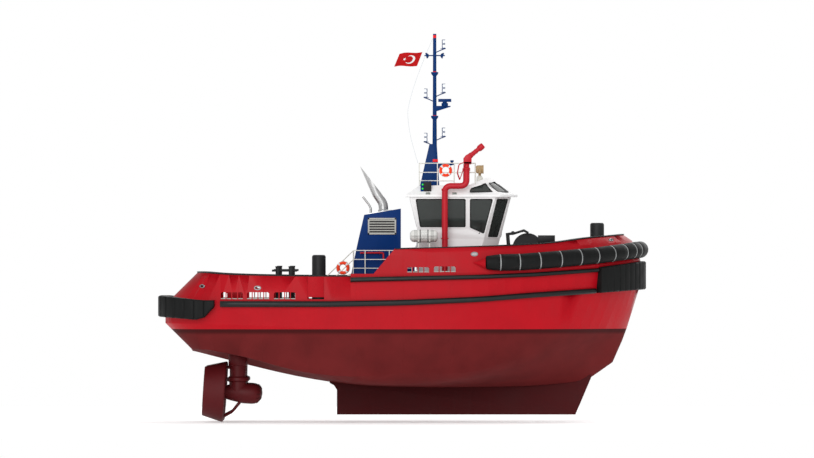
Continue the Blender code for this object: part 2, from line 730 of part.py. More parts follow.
def gate_hinge(sign):
    """Foot and head of a gate's hinge line, on the inner edge of its cap."""
    inner = CAP_INNER + 0.03
    x = GATE_SPAN[0] + MOVING_GAP
    foot = Vector((x, sign * (GATE_FOOT_Y - inner), MAIN_DECK))
    head = Vector((x, sign * (GATE_TOP_Y - inner), GATE_TOP))
    return foot, head


def gate_knuckle(foot, along, span, sign, arm, lug):
    """One piece of a gate hinge: its barrel, and the arm that reaches the plating."""
    start, end = foot + along * span[0], foot + along * span[1]
    reach = Vector((arm[0], sign * arm[1], 0))
    corners = (Vector((lug[0], 0, 0)), Vector((lug[1], 0, 0)), reach, reach + Vector((lug[2], 0, 0)))
    ends = (start + along * 0.01, end - along * 0.01)
    return [tube((start, end), GATE_PIN), hull_of([p + q for p in ends for q in corners])]


def make_gates(bulwarks):
    """Hinged gates in the aft bulwarks, with their hinge pins."""
    for side, sign in SIDES.items():
        foot, head = gate_hinge(sign)
        lines = []
        for x in (GATE_SPAN[0] + MOVING_GAP, GATE_SPAN[1] - MOVING_GAP):
            sill = Vector((x, sign * (GATE_FOOT_Y - 0.018), GATE_SILL))
            lines.append([sill, Vector((x, sign * GATE_TOP_Y, GATE_TOP))])
        normal = Vector((0, sign, 0))
        along = (head - foot).normalized()
        shapes, pins = [loft(plating(lines, [normal, normal]))], []
        for span in GATE_BARRELS:
            shapes += gate_knuckle(foot, along, span, sign, (0.012, 0.15), (0, 0.03, 0.03))
        for span in GATE_PINS:
            pins += gate_knuckle(foot, along, span, sign, (-0.05, 0.155), (-0.01, -0.05, 0.035))
        fused("gate_" + side, shapes, "red")
        boolean(bulwarks[side], cutter(pins), "UNION")


def make_bow_bulwarks(bow, forecastle):
    """Bow plating round the stem and one plating on each side of the forecastle."""
    lift = Vector((0, 0, GAP))
    rows = [[row[0] + lift, row[1], row[2]] for row in bow]
    split = BOW_SPLIT * HULL_STEPS
    path = [row[0] for row in rows]
    path.append(mirrored(path[-2]))
    normals = plan_normals(path)[:-1]
    around = [at_side(row, -1) for row in rows[split:]]
    around += [at_side(row, 1) for row in reversed(rows[split:-1])]
    turns = [mirrored(n) for n in normals[split:]] + list(reversed(normals[split:-1]))
    nose = piece("bulwark_bow", loft(plating(around, turns)), "red")
    cut(nose, [side_cut(oval(FORE_CHOCKS[1], CHOCK_SIZE), sign) for sign in SIDES.values()])
    clear_of(nose, forecastle)
    result = {"bow": nose}
    for side, sign in SIDES.items():
        lines = [at_side(row, sign) for row in rows[:split + 1]]
        faces = [n if sign > 0 else mirrored(n) for n in normals[:split + 1]]
        lines[-1] = [p + (q - p).normalized() * GAP for p, q in zip(lines[-1], lines[-2])]
        bulwark = piece("bulwark_fore_" + side, loft(plating(lines, faces)), "red")
        holes = [side_cut(outline, sign) for outline in freeing_port_cells(FORE_PORTS)]
        holes.append(side_cut(oval(FORE_CHOCKS[0], CHOCK_SIZE), sign))
        holes.append(side_cut(BULWARK_END, sign, 4.0, 7.0))
        cut(bulwark, holes)
        clear_of(bulwark, forecastle)
        result[side] = bulwark
    return result


# Rails and fenders on the hull's side

def make_rub_rails(rows, bow, hull, forecastle):
    """Lower and upper rubbing rails on both sides."""
    start = FORECASTLE_START * HULL_STEPS
    side_rows = [[row[1], row[0]] for row in rows if row[0].x <= RAIL_END]
    for row, above in zip(side_rows[start:], bow):
        row.append(above[0])
    lower = [side_point(row, 0, 1, table_height(LOWER_RAIL, row[1].x)) for row in side_rows
             if row[1].x >= LOWER_RAIL[0][0]]
    upper = [side_point(row, 1, 2, table_height(UPPER_RAIL, row[1].x)) for row in side_rows[start:]]
    for name, path, height in (("lower", lower, RAIL_HEIGHT), ("upper", upper, UPPER_RAIL_HEIGHT)):
        for side, sign in SIDES.items():
            line = at_side(path, sign)
            total = len(line) - 1

            def profile(i, point, height=height, total=total):
                taper = 1.0 - 0.16 * i / total
                return [(out * RAIL_DEPTH, up * height * taper) for out, up in RAIL_PROFILE]

            rail = piece("rub_rail_" + name + "_" + side, strip(line, profile), "black")
            clear_of(rail, hull, forecastle)


def ribbed(line, pitch, groove):
    """Points in flat ribs along a line, about pitch long, and the numbers of those in a groove."""
    lengths = [0.0]
    for a, b in zip(line, line[1:]):
        lengths.append(lengths[-1] + (b - a).length)
    ribs = round(lengths[-1] / pitch)
    stops = [(0.0, False), (lengths[-1], False)]
    for i in range(1, ribs):
        middle = lengths[-1] * i / ribs
        stops += [(middle - groove / 2, False), (middle, True), (middle + groove / 2, False)]
    points, dips = [], set()
    for stop, dip in sorted(stops):
        span = max(i for i in range(len(line) - 1) if lengths[i] <= stop + GAP)
        part = (stop - lengths[span]) / (lengths[span + 1] - lengths[span])
        if dip:
            dips.add(len(points))
        points.append(line[span].lerp(line[span + 1], min(part, 1.0)))
    return points, dips


def make_stern_fender(rows, hull, bulwark):
    """Ribbed rubber block round the transom."""
    port = [Vector((row[0].x, row[0].y, 0)) for row in rows if row[0].x < STERN_FENDER_END]
    port.append(Vector((STERN_FENDER_END, port[-1].y + 0.05, 0)))
    path, dips = ribbed([mirrored(p) for p in reversed(port)] + port, STERN_RIB, GROOVE_WIDTH)

    def profile(i, point):
        reach = min(max((point.x + 12.17) / 1.9, 0), 1)
        slant = min(max((point.x + 10.26) / 0.65, 0), 1)
        foot = STERN_FENDER_FOOT - 0.17 * reach + 0.70 * slant
        head = STERN_FENDER_TOP + 0.22 * (1 - reach)
        out = STERN_FENDER_DEPTH - (GROOVE_DEPTH if i in dips else 0)
        return [(-0.05, foot), (out - FENDER_EDGE, foot), (out, foot + FENDER_EDGE),
                (out, head - FENDER_EDGE), (out - FENDER_EDGE, head), (-0.05, head)]

    fender = piece("stern_fender", strip(path, profile), "black")
    clear_of(fender, hull, *bulwark)


def make_bow_block(rows, bow, hull, forecastle):
    """Ribbed rubber block round the stem."""
    start = FORECASTLE_START * HULL_STEPS
    port = [side_point([h[0], b[0]], 0, 1, BLOCK_LINE) for h, b in zip(rows[start:], bow)
            if h[0].x >= BLOCK_START - 0.4]
    port[0] = port[0].lerp(port[1], (BLOCK_START - port[0].x) / (port[1].x - port[0].x))
    port = [Vector((p.x, p.y, 0)) for p in port]
    path, dips = ribbed([mirrored(p) for p in port] + list(reversed(port[:-1])), BLOCK_RIB, GROOVE_WIDTH)

    def profile(i, point):
        reach = (point.x - BLOCK_START) / (12.2 - BLOCK_START)
        foot, head = 1.85 + 0.17 * reach, 3.17 + 0.30 * reach
        out = BLOCK_DEPTH - (GROOVE_DEPTH if i in dips else 0)
        return [(-0.15, foot), (out - FENDER_EDGE, foot), (out, foot + FENDER_EDGE),
                (out, head - FENDER_EDGE), (out - FENDER_EDGE, head), (-0.15, head)]

    block = piece("bow_fender_block", strip(path, profile), "black")
    clear_of(block, hull, forecastle)
    return block


def make_bow_cylinder(bow, clear):
    """Round rubber fender outside the fore bulwark, thinner towards its aft ends."""
    port = [side_point(row, 0, 1, table_height(FENDER_LINE, row[0].x)) for row in bow if row[0].x >= 3.5]
    port[0] = port[0].lerp(port[1], (FENDER_START - port[0].x) / (port[1].x - port[0].x))
    path = [mirrored(p) for p in port] + list(reversed(port[:-1]))

    def profile(i, point):
        taper = min(1.0, 0.80 + 0.27 * (point.x - FENDER_START))
        radius = FENDER_RADIUS * taper * (1 + 0.02 * max(point.x - 10, 0) / 2)
        angles = [2 * math.pi * (k + 0.5) / FENDER_SIDES for k in range(FENDER_SIDES)]
        return [(FENDER_OFFSET + radius * math.cos(angle), radius * math.sin(angle)) for angle in angles]

    fender = piece("bow_fender_cylinder", strip(path, profile), "black")
    clear_of(fender, *clear)
    return fender


def make_fairings(bow, clear):
    """Red pointed fairings aft of the round fender."""
    row = min(bow, key=lambda r: abs(r[0].x - 3.9))
    y = side_point(row, 0, 1, 3.37).y
    tip = (3.56, y + 0.02, 3.40)
    inner = (3.56, y - 0.25, 3.40)
    root = [(FENDER_START - GAP * 3, y - 0.10 + 0.50 * out, 3.375 + 0.27 * up)
            for out, up in ((0, -1), (0.75, -0.9), (1, -0.3), (1, 0.3), (0.75, 0.9), (0, 1))]
    for side, sign in SIDES.items():
        fairing = piece("fender_fairing_" + side, hull_of(at_side([tip, inner, *root], sign)), "red")
        clear_of(fairing, *clear)


# Houses

def house_ring(height, inset=0.0):
    """The houses' outline at a height, moved in by inset."""
    lean = max(height - SILL_HEIGHT, 0) / (EAVE_HEIGHT - SILL_HEIGHT)
    rise = height - FORE_DECK
    aft = HOUSE_AFT - 0.41 * lean + inset
    side = 2.15 + 0.35 * lean - inset
    shoulder = 3.68 + 0.268 * rise - inset * 0.45
    front = 4.52 + 0.259 * rise - inset
    nose = 1.15 + 0.077 * rise - inset * 0.5
    port = [(aft, side), (shoulder, side), (front, nose)]
    return [(x, y, height) for x, y in port] + [(x, -y, height) for x, y in reversed(port)]


def make_deckhouse():
    """Hollow house on the forecastle deck, with its doorway."""
    house = piece("deckhouse", loft([house_ring(z) for z in (FORE_DECK - 0.1, HOUSE_SEAM)]), "white")
    inside = [loft([house_ring(z, WALL) for z in (FORE_DECK - 0.3, HOUSE_SEAM - CEILING)])]
    half = DOOR_SIZE[0] / 2 - DOOR_REBATE
    foot, head = DOOR_FOOT + DOOR_REBATE, DOOR_FOOT + DOOR_SIZE[1] - DOOR_REBATE
    inside.append(box((HOUSE_AFT - 0.3, -half, foot), (HOUSE_AFT + 0.3, half, head)))
    cut(house, inside)
    return house


def make_door(house):
    """Outward door on the deckhouse's aft wall, hinged to port."""
    half = DOOR_SIZE[0] / 2
    face = HOUSE_AFT - GAP
    back = face - 0.045
    axis = Vector((face - 0.075, half + 0.03, 0))
    shapes = [
        box((face - 0.05, -half, DOOR_FOOT), (face, half, DOOR_FOOT + DOOR_SIZE[1])),
        box((face - 0.09, -half + 0.08, DOOR_FOOT + 0.7), (back, -half + 0.2, DOOR_FOOT + 0.86)),
    ]
    pins = []
    for foot in DOOR_HINGES:
        low = axis + Vector((0, 0, DOOR_FOOT + foot))
        base = low - Vector((0, 0, 0.10))
        shapes.append(tube((low, low + Vector((0, 0, 0.12))), DOOR_PIN))
        shapes.append(box((face - 0.085, half - 0.03, low.z + 0.005), (back, axis.y, low.z + 0.115)))
        pins.append(tube((base, base + Vector((0, 0, 0.10 - GAP))), DOOR_PIN))
        pins.append(box((axis.x - 0.01, axis.y + 0.005, base.z + 0.01),
                        (face + 0.02, axis.y + 0.03, base.z + 0.09)))
    fused("deckhouse_door", shapes, "white")
    boolean(house, cutter(pins), "UNION")


def make_wheelhouse():
    """Hollow wheelhouse with all its windows cut."""
    levels = (HOUSE_SEAM + GAP, SILL_HEIGHT, EAVE_HEIGHT)
    house = piece("wheelhouse", loft([house_ring(z) for z in levels]), "white")
    inner_levels = (HOUSE_SEAM - 0.1, SILL_HEIGHT, EAVE_HEIGHT + 0.1)
    cut(house, [loft([house_ring(z, WALL) for z in inner_levels])])
    holes = []
    for sign in SIDES.values():
        holes += [side_cut(outline, sign, 1.8, 3.0) for outline in SIDE_WINDOWS]
        holes.append(corner_window(sign))
    for outline, starts, near, far in END_WINDOWS:
        holes += [prism([(start + y, z) for y, z in outline], near, far, "X") for start in starts]
    cut(house, holes)


def corner_window(sign):
    """Cutter of the window in the slanting corner wall."""
    corners = []
    for height, first, last in CORNER_WINDOW:
        ring = house_ring(height)
        a, b = Vector(ring[1]), Vector(ring[2])
        corners += [a.lerp(b, first), a.lerp(b, last)]
    through = Vector((a.y - b.y, b.x - a.x, 0)).normalized() * 0.3
    points = [p + through * way for p in corners for way in (1, -1)]
    return hull_of(at_side(points, sign))


def make_glazing():
    """One ring of dark glass that stands against the wheelhouse walls inside."""
    levels = (HOUSE_SEAM + 2 * GAP, SILL_HEIGHT, EAVE_HEIGHT - 0.002)
    glass = piece("wheelhouse_glazing", loft([house_ring(z, GLASS_OUTER) for z in levels]), "glass")
    inner = (HOUSE_SEAM - 0.1, SILL_HEIGHT, EAVE_HEIGHT + 0.1)
    cut(glass, [loft([house_ring(z, GLASS_INNER) for z in inner])])


def roof_solids(inset):
    """The roof's low part and its raised fore part as convex bodies, moved in by inset."""
    i = inset
    low = [
        (0.16 + i * 1.6, 2.56 - i * 1.8, 6.885), (4.95 - i, 2.56 - i * 1.8, 6.885),
        (5.80 - i * 1.6, 1.50 - i, 6.885), (0.80 + i, 2.10 - i, 7.34 - i),
        (4.1 - i, 2.10 - i, 7.42 - i), (4.5 - i, 1.2 - i, 7.42 - i),
    ]
    high = [
        (3.30 + i, 2.32 - i, 6.90), (5.00 - i, 2.32 - i, 6.90), (5.70 - i * 1.4, 1.45 - i, 6.90),
        (3.50 + i, 2.02 - i, 7.43 - i), (4.33, 1.32 - i, 7.77 - i), (4.45, 1.20 - i, 7.77 - i),
        (4.62 - i, 1.1 - i, 7.66 - i),
    ]
    return [hull_of(at_side(points, 1) + at_side(points, -1)) for points in (low, high)]


def make_roof():
    """Roof with its eave plate, hollow below, with four skylights and the side light screens."""
    ring = list(EAVE_OUTLINE) + [(x, -y) for x, y in reversed(EAVE_OUTLINE)]
    plate = prism(ring, EAVE_HEIGHT + GAP, EAVE_TOP, "Z")
    screens = [box((1.05, y - 0.32, 7.0), (1.44, y + 0.32, 7.52)) for y in (-1.9, 1.9)]
    roof = fused("wheelhouse_roof", [plate, *roof_solids(0.0), *screens], "white")
    mouth = [(x, y) for x, y, _ in house_ring(EAVE_HEIGHT, WALL + 0.03)]
    hollow = piece("cutter", prism(mouth, 6.7, 6.9, "Z"), "steel")
    boolean(hollow, cutter(roof_solids(ROOF_PLATE)), "UNION")
    boolean(roof, hollow, "DIFFERENCE")
    lights = [side_cut(SIDE_SKYLIGHT, sign, 1.5, 2.9) for sign in SIDES.values()]
    lights += [side_cut(FRONT_SKYLIGHT, sign, 0.98, 2.9) for sign in SIDES.values()]
    cut(roof, lights)
    return roof


# Exhaust casings

def make_casings(forecastle):
    """Blue casings with louvres outboard, and the cut exhaust pipes on them."""
    inner, outer = CASING_SPAN
    for side, sign in SIDES.items():
        low, high = sorted((sign * inner, sign * outer))
        casing = piece("exhaust_casing_" + side, prism(CASING_OUTLINE, low, high), "blue")
        (aft, foot), (fore, head) = LOUVRE
        near, far = sorted((sign * (outer - LOUVRE_SUNK), sign * (outer + LOUVRE_PROUD)))
        boolean(casing, cutter([box((aft, near, foot), (fore, far, head))]), "UNION")
        near, far = sorted((sign * (outer - LOUVRE_SUNK), sign * (outer + 0.1)))
        slots = []
        for i in range(LOUVRE_SLOTS):
            sill = foot + 0.105 + i * 0.13
            slots.append(box((aft + 0.09, near, sill), (fore - 0.09, far, sill + 0.06)))
        cut(casing, slots)
        clear_of(casing, forecastle)
        make_exhausts(side, sign, casing)


def make_exhausts(side, sign, casing):
    """Main pipe with a long slanting mouth and a small bent pipe, on one seat plate."""
    y = sign * EXHAUST_Y
    main = tube([(x, y, z) for x, z in EXHAUST_LINE], EXHAUST_RADIUS, 14)
    small = tube([(x, y, z) for x, z in SMALL_EXHAUST_LINE], 0.055)
    seat = prism(EXHAUST_SEAT, y - 0.3, y + 0.3)
    pipes = fused("exhaust_pipes_" + side, [seat, main, small], "steel")
    cut(pipes, [prism(EXHAUST_MOUTH, y - 0.6, y + 0.6)])
    cut(pipes, [tube([(x, y, z) for x, z in EXHAUST_BORE_LINE], EXHAUST_BORE, 14)])
    clear_of(pipes, casing)


# Mast and roof gear

def make_mast(roof):
    """Blue mast: plated trunk, pole, lantern brackets, lamp rod and scanner seats."""
    trunk = hull_of([(x, side * half, z) for x, half, z in MAST_TRUNK for side in (-1, 1)])
    shapes = [trunk, turned(MAST_POLE, 10, (MAST_X, 0, 9.07))]
    for height in MAST_COLLARS:
        shapes.append(turned(((0.10, 0), (0.19, 0.03), (0.19, 0.07), (0.10, 0.20)), 10, (MAST_X, 0, height)))
    for height, way in LANTERN_ARMS:
        near, far = sorted((MAST_X, MAST_X + way * 0.57))
        shapes.append(box((near, -0.03, height - 0.035), (far, 0.03, height + 0.035)))
        shapes.append(turned(LANTERN, 6, (MAST_X + way * 0.46, 0, height)))
    shapes.append(tube(((1.10, 0, LAMP_ROD), (2.16, 0, LAMP_ROD)), 0.03, 6))
    for way in (-1, 1):
        shapes.append(turned(FLOODLIGHT, 8, (MAST_X + way * 0.40, 0, LAMP_ROD), (-way, 0, 0.3)))
    for (x, seat), radius, height, reach, half in ((UPPER_RADAR, 0.17, 0.16, 0.30, 0.09),
                                                   (LOWER_RADAR, 0.09, 0.06, 0.16, 0.07)):
        foot = seat - height
        shapes.append(turned(((radius, 0), (radius, height)), 10, (x, 0, foot)))
        shapes.append(box((MAST_X, -half, foot + 0.01 - half * 1.33), (x + reach, half, foot + 0.01)))
    mast = fused("mast", shapes, "blue")
    clear_of(mast, roof)


def make_scanners():
    """Radar scanners that turn on their seats."""
    x, seat = UPPER_RADAR
    seat += GAP
    shapes = [turned(((0.12, 0), (0.12, 0.06)), 10, (x, 0, seat)),
              box((x - 0.335, -0.10, seat + 0.05), (x + 0.335, 0.10, seat + 0.21))]
    fused("radar_scanner_upper", shapes, "blue")
    x, seat = LOWER_RADAR
    seat += GAP
    shapes = [turned(((0.06, 0), (0.06, 0.04)), 10, (x, 0, seat)),
              box((x - 0.09, -0.55, seat + 0.03), (x + 0.09, 0.55, seat + 0.12))]
    fused("radar_scanner_lower", shapes, "blue")


def make_fire_mains(forecastle, roof):
    """Fire mains up both sides of the wheelhouse, with their monitors."""
    foot_x, (top_x, seat) = FIRE_MAIN_X, MONITOR_SEAT
    for side, sign in SIDES.items():
        y = sign * FIRE_MAIN_Y
        foot, low_corner = (foot_x, y, 2.80), (foot_x, y, 7.33)
        high_corner, top = (top_x, y, 7.33), (top_x, y, seat)
        route = [foot, *bend(foot, low_corner, high_corner, 0.24)]
        route += [*bend(low_corner, high_corner, top, 0.24), top]
        clamp = sorted((y, sign * 2.45))
        shapes = [
            tube(route, FIRE_MAIN_RADIUS, 12),
            turned(((0.19, 0), (0.19, 0.07)), 12, (top_x, y, seat - 0.07)),
            turned(((0.22, 0), (0.22, 0.05)), 12, (foot_x, y, 2.84)),
            box((2.0, clamp[0], 7.10), (2.30, clamp[1], 7.18)),
        ]
        main = fused("fire_main_" + side, shapes, "fire_red")
        clear_of(main, forecastle, roof)
        make_monitor(side, sign)


def make_monitor(side, sign):
    """Monitor base that trains on its riser, with a hand lever, and the barrel between its ears."""
    y = sign * FIRE_MAIN_Y
    x, seat = MONITOR_SEAT
    body = [turned(((0.19, 0), (0.19, 0.07), (0.14, 0.10), (0.14, 0.36)), 12, (x, y, seat + GAP)),
            box((3.12, y - 0.26, 8.46), (3.52, y + 0.26, 8.57))]
    for cheek in (-1, 1):
        body.append(prism(MONITOR_EAR, *sorted((y + cheek * 0.20, y + cheek * 0.26))))
    body.append(tube([(u, y + sign * 0.22, z) for u, z in MONITOR_LEVER], 0.025, 6))
    fused("monitor_base_" + side, body, "fire_red")
    centre = Vector((BARREL_PIVOT[0], y, BARREL_PIVOT[1]))
    aim = Vector((math.cos(BARREL_RISE), 0, math.sin(BARREL_RISE)))
    axle = Vector((0, 0.1994, 0))
    barrel = [turned(BARREL, 12, centre, aim), tube((centre - axle, centre + axle), 0.10, 12)]
    nozzle = fused("monitor_barrel_" + side, barrel, "fire_red")
    cut(nozzle, [turned(((0.085, 0.55), (0.11, 1.1)), 12, centre, aim)])


def make_searchlight(roof):
    """Searchlight on its seat on the roof's crown, and its seat."""
    x, top = SEARCHLIGHT
    seat = turned(((0.17, 7.5), (0.17, 7.80), (0.09, top)), 10, (x, 0, 0))
    pedestal = piece("searchlight_seat", seat, "white")
    clear_of(pedestal, roof)
    top += GAP
    centre = (x - 0.01, 0, 8.19)
    shapes = [turned(((0.07, top), (0.07, top + 0.10)), 10, (x, 0, 0)),
              box((x - 0.06, -0.26, top + 0.08), (x + 0.06, 0.26, top + 0.12)),
              turned(((0.15, -0.21), (0.215, -0.10), (0.215, 0.20), (0.20, 0.21)), 14, centre, (1, 0, 0))]
    for sign in SIDES.values():
        near, far = sorted((sign * 0.20, sign * 0.26))
        shapes.append(box((x - 0.06, near, top + 0.08), (x + 0.06, far, 8.24)))
    lamp = fused("searchlight", shapes, "raft_white")
    cut(lamp, [turned(((0.18, 0.15), (0.19, 0.3)), 14, centre, (1, 0, 0))])


def rail_line(points, heights):
    """Level rails through the points at each height."""
    return [tube([(x, y, z) for x, y in points], RAIL_RADIUS, 5) for z in heights]


def lifebuoy(centre):
    """A ring buoy's solid, seen round from the side."""
    turn = Vector((0, 0, 1)).rotation_difference(Vector((0, 1, 0)))
    profile = [(0.255 + 0.075 * math.cos(math.radians(72 * k)), 0.06 * math.sin(math.radians(72 * k)))
               for k in range(5)]
    return ring_solid(profile, Vector(centre), turn, 12)


def make_roof_rail(roof):
    """Rail round the aft part of the roof, with a lifebuoy to starboard."""
    y = ROOF_RAIL_Y
    aft, fore = ROOF_POSTS[0], ROOF_POSTS[-1]
    shapes = rail_line(((fore, -y), (aft, -y), (aft, y), (fore, y)), ROOF_RAILS)
    low = ROOF_POSTS[-2]
    shapes += rail_line(((low, -y), (aft, -y), (aft, y), (low, y)), (ROOF_LOW_RAIL,))
    posts = [(x, sign * y) for x in ROOF_POSTS for sign in SIDES.values()] + [(aft, 0)]
    shapes += [tube(((u, v, 7.2), (u, v, ROOF_RAILS[0])), POST_RADIUS, 5) for u, v in posts]
    shapes.append(lifebuoy((2.19, -y - 0.045, 8.13)))
    rail = fused("roof_rail", shapes, "white")
    clear_of(rail, roof)


def make_casing_rails(forecastle, hull):
    """Rails outboard of the casings, and the stairs from the aft deck."""
    top = CASING_RAILS[0]
    aft, fore = CASING_POSTS[0], CASING_POSTS[-1]
    newel = aft - 1.31
    for side, sign in SIDES.items():
        y, inner = sign * STAIR_SPAN[1], sign * STAIR_SPAN[0]
        shapes = rail_line(((aft, y), (fore, y)), CASING_RAILS)
        for x in CASING_POSTS:
            shapes.append(tube(((x, y, FORE_DECK - 0.03), (x, y, top)), POST_RADIUS, 5))
        for height in CASING_RAILS[:2]:
            shapes.append(tube(((aft, y, height), (newel, y, height - 1.27)), RAIL_RADIUS, 5))
        shapes.append(tube(((newel, y, MAIN_DECK - 0.04), (newel, y, top - 1.27)), POST_RADIUS, 5))
        for edge in (y, inner):
            shapes.append(prism(STRINGER, edge - 0.02, edge + 0.02))
        low, high = sorted((inner, y))
        for i in range(STAIR_STEPS):
            back, step = -3.92 + i * 0.229, 1.70 + i * 0.225
            shapes.append(box((back, low, step), (back + 0.24, high, step + 0.04)))
        shapes.append(lifebuoy((-3.08, y + sign * 0.05, 3.12)))
        rail = fused("casing_rail_" + side, shapes, "white")
        clear_of(rail, forecastle, hull)


def make_liferafts(forecastle):
    """Liferaft canisters on cradles beside the wheelhouse."""
    foot = FORE_DECK - 0.03
    for side, sign in SIDES.items():
        y = sign * RAFT_PLACE[0]
        shapes = [turned(RAFT, 14, (0, y, RAFT_PLACE[1]), (1, 0, 0))]
        for x in RAFT_CRADLES:
            for near in (y - 0.24, y + 0.18):
                shapes.append(box((x - 0.03, near, foot), (x + 0.03, near + 0.06, 4.62)))
            shapes.append(box((x - 0.03, y - 0.24, 4.40), (x + 0.03, y + 0.24, 4.48)))
        raft = fused("liferaft_" + side, shapes, "raft_white")
        clear_of(raft, forecastle)


# Deck gear

def make_winch(forecastle):
    """Hawser winch: base, stands, motor and fairlead bow in one frame, and its drum."""
    x, z = WINCH_SHAFT
    shapes = [
        box((5.45, -1.35, FORE_DECK + 0.12), (7.85, 1.35, 3.22)),
        box((6.94, -1.32, 4.46), (7.81, -0.87, 4.80)),
        box((7.0, -1.25, 3.15), (7.75, -0.92, 4.50)),
    ]
    for sign in SIDES.values():
        y = sign * WINCH_STAND
        shapes.append(prism(((5.95, 3.15), (6.87, 3.15), (6.60, 4.30), (6.22, 4.30)), y - 0.07, y + 0.07))
        shapes.append(tube(((x, sign * 1.32, z), (x, sign * 1.02, z)), 0.20, 12))
        for line, radius in WINCH_BOW:
            shapes.append(tube([(u, y, v) for u, v in line], radius, 6))
    for u, v, radius, sides in WINCH_ROLLERS:
        shapes.append(tube(((u, -1.2, v), (u, 1.2, v)), radius, sides))
    frame = fused("winch_frame", shapes, "machinery")
    clear_of(frame, forecastle)
    profile = [(r, -y) for r, y in WINCH_DRUM] + [(r, y) for r, y in reversed(WINCH_DRUM)]
    piece("winch_drum", turned(profile, 24, (x, 0, z), (0, 1, 0)), "machinery")


def make_staple(name, x, foot, top, clear):
    """Inverted U of pipe: two legs and the bar between them."""
    profile = ((STAPLE_RADIUS, foot), (STAPLE_RADIUS, top - 0.10), (STAPLE_RADIUS - 0.06, top))
    shapes = [turned(profile, 14, (x, sign * STAPLE_SPREAD, 0)) for sign in SIDES.values()]
    bar = top - 0.42
    shapes.append(tube(((x, -STAPLE_SPREAD, bar), (x, STAPLE_SPREAD, bar)), STAPLE_RADIUS * 0.86, 14))
    staple = fused(name, shapes, "machinery")
    clear_of(staple, clear)


def make_bitts(hull):
    """Double bitts with their cross bar, one pair inside each bulwark."""
    post = ((0.125, MAIN_DECK), (0.125, 3.17), (0.14, 3.18), (0.14, 3.22))
    for side, sign in SIDES.items():
        y = sign * BITTS_Y
        shapes = [box((-6.80, y - 0.25, MAIN_DECK - 0.02), (-5.30, y + 0.25, MAIN_DECK + 0.04))]
        shapes += [turned(post, 12, (x, y, 0)) for x in BITTS_X]
        shapes.append(tube(((-6.70, y, 2.995), (-5.41, y, 2.995)), 0.055))
        bitts = fused("side_bitts_" + side, shapes, "machinery")
        clear_of(bitts, hull)


def make_hatch(hull):
    """Deck hatch coaming and its hinged lid."""
    x, half = HATCH_X, HATCH_HALF
    top = MAIN_DECK + HATCH_HEIGHT
    coaming = piece("deck_hatch", box((x - half, -half, MAIN_DECK + GAP), (x + half, half, top)), "red")
    well = half - PLATE
    cut(coaming, [box((x - well, -well, MAIN_DECK - 0.1), (x + well, well, top + 0.1))])
    edge = x - half - 0.05
    foot = top + GAP
    brim = half + 0.02
    shapes = [box((x - brim, -brim, foot), (x + brim, brim, foot + 0.05))]
    pins = []
    for y in HATCH_HINGES:
        axis = Vector((edge, y, foot + 0.03))
        start = axis - Vector((0, 0.10, 0))
        shapes.append(tube((axis, axis + Vector((0, 0.12, 0))), 0.02))
        shapes.append(box((edge, y + 0.01, foot + 0.02), (x - half, y + 0.11, foot + 0.045)))
        pins.append(tube((start, axis - Vector((0, GAP, 0))), 0.02))
        pins.append(box((edge - 0.015, y - 0.09, foot - 0.12), (edge + 0.006, y - 0.01, foot + 0.03)))
        pins.append(box((edge - 0.015, y - 0.09, foot - 0.12), (x - half + 0.02, y - 0.01, foot - 0.07)))
    fused("hatch_lid", shapes, "red")
    boolean(coaming, cutter(pins), "UNION")
    clear_of(coaming, hull)


# Thrusters

def shaft_frame(y):
    """Start of the propeller shaft below the thruster's stem, and its direction aft."""
    aft = Vector((-math.cos(SHAFT_TILT), 0, math.sin(SHAFT_TILT)))
    return Vector((THRUSTER_X, y, SHAFT_HEIGHT)), aft


def make_thrusters(hull):
    """Thruster pads, the steering pods with their nozzles, and the propellers."""
    profile = ((0.49, -1.2), (0.49, PAD_FOOT + 0.05), (0.45, PAD_FOOT))
    for side, sign in SIDES.items():
        y = sign * THRUSTER_Y
        pad = piece("thruster_pad_" + side, turned(profile, 20, (THRUSTER_X, y, 0)), "antifouling")
        clear_of(pad, hull)
        make_pod(side, y)
        make_propeller(side, y)


def make_pod(side, y):
    """Stem, gear housing, struts and nozzle, which steer as one."""
    start, aft = shaft_frame(y)
    lip = start + aft * NOZZLE_START
    turn = Vector((0, 0, 1)).rotation_difference(aft)
    shapes = [
        turned(((0.43, PAD_FOOT - GAP), *POD_STEM), 12, (THRUSTER_X, y, 0)),
        turned(GEARCASE, 12, start, aft),
        ring_solid(NOZZLE, lip, turn, 20),
        box((-9.25, y - 0.08, -2.05), (THRUSTER_X - 0.10, y + 0.08, -1.92)),
    ]
    for cant in (-1, 1):
        strut = (start + Vector((0.30, 0, -0.20)), start + Vector((-0.30, cant * 0.12, -0.95)),
                 lip + Vector((-0.15, cant * 0.50, -1.27)))
        shapes.append(tube(strut, 0.075))
    fused("thruster_" + side, shapes, "antifouling")


def ring_solid(profile, centre, turn, sides):
    """A ring turned from a closed (radius, place) profile."""
    bm = bmesh.new()
    rings = []
    for i in range(sides):
        angle = 2 * math.pi * i / sides
        rings.append([bm.verts.new(turn @ Vector((r * math.cos(angle), r * math.sin(angle), h)) + centre)
                      for r, h in profile])
    count = len(profile)
    for i, near in enumerate(rings):
        far = rings[(i + 1) % sides]
        for k in range(count):
            bm.faces.new((near[k], near[(k + 1) % count], far[(k + 1) % count], far[k]))
    return closed(bm)


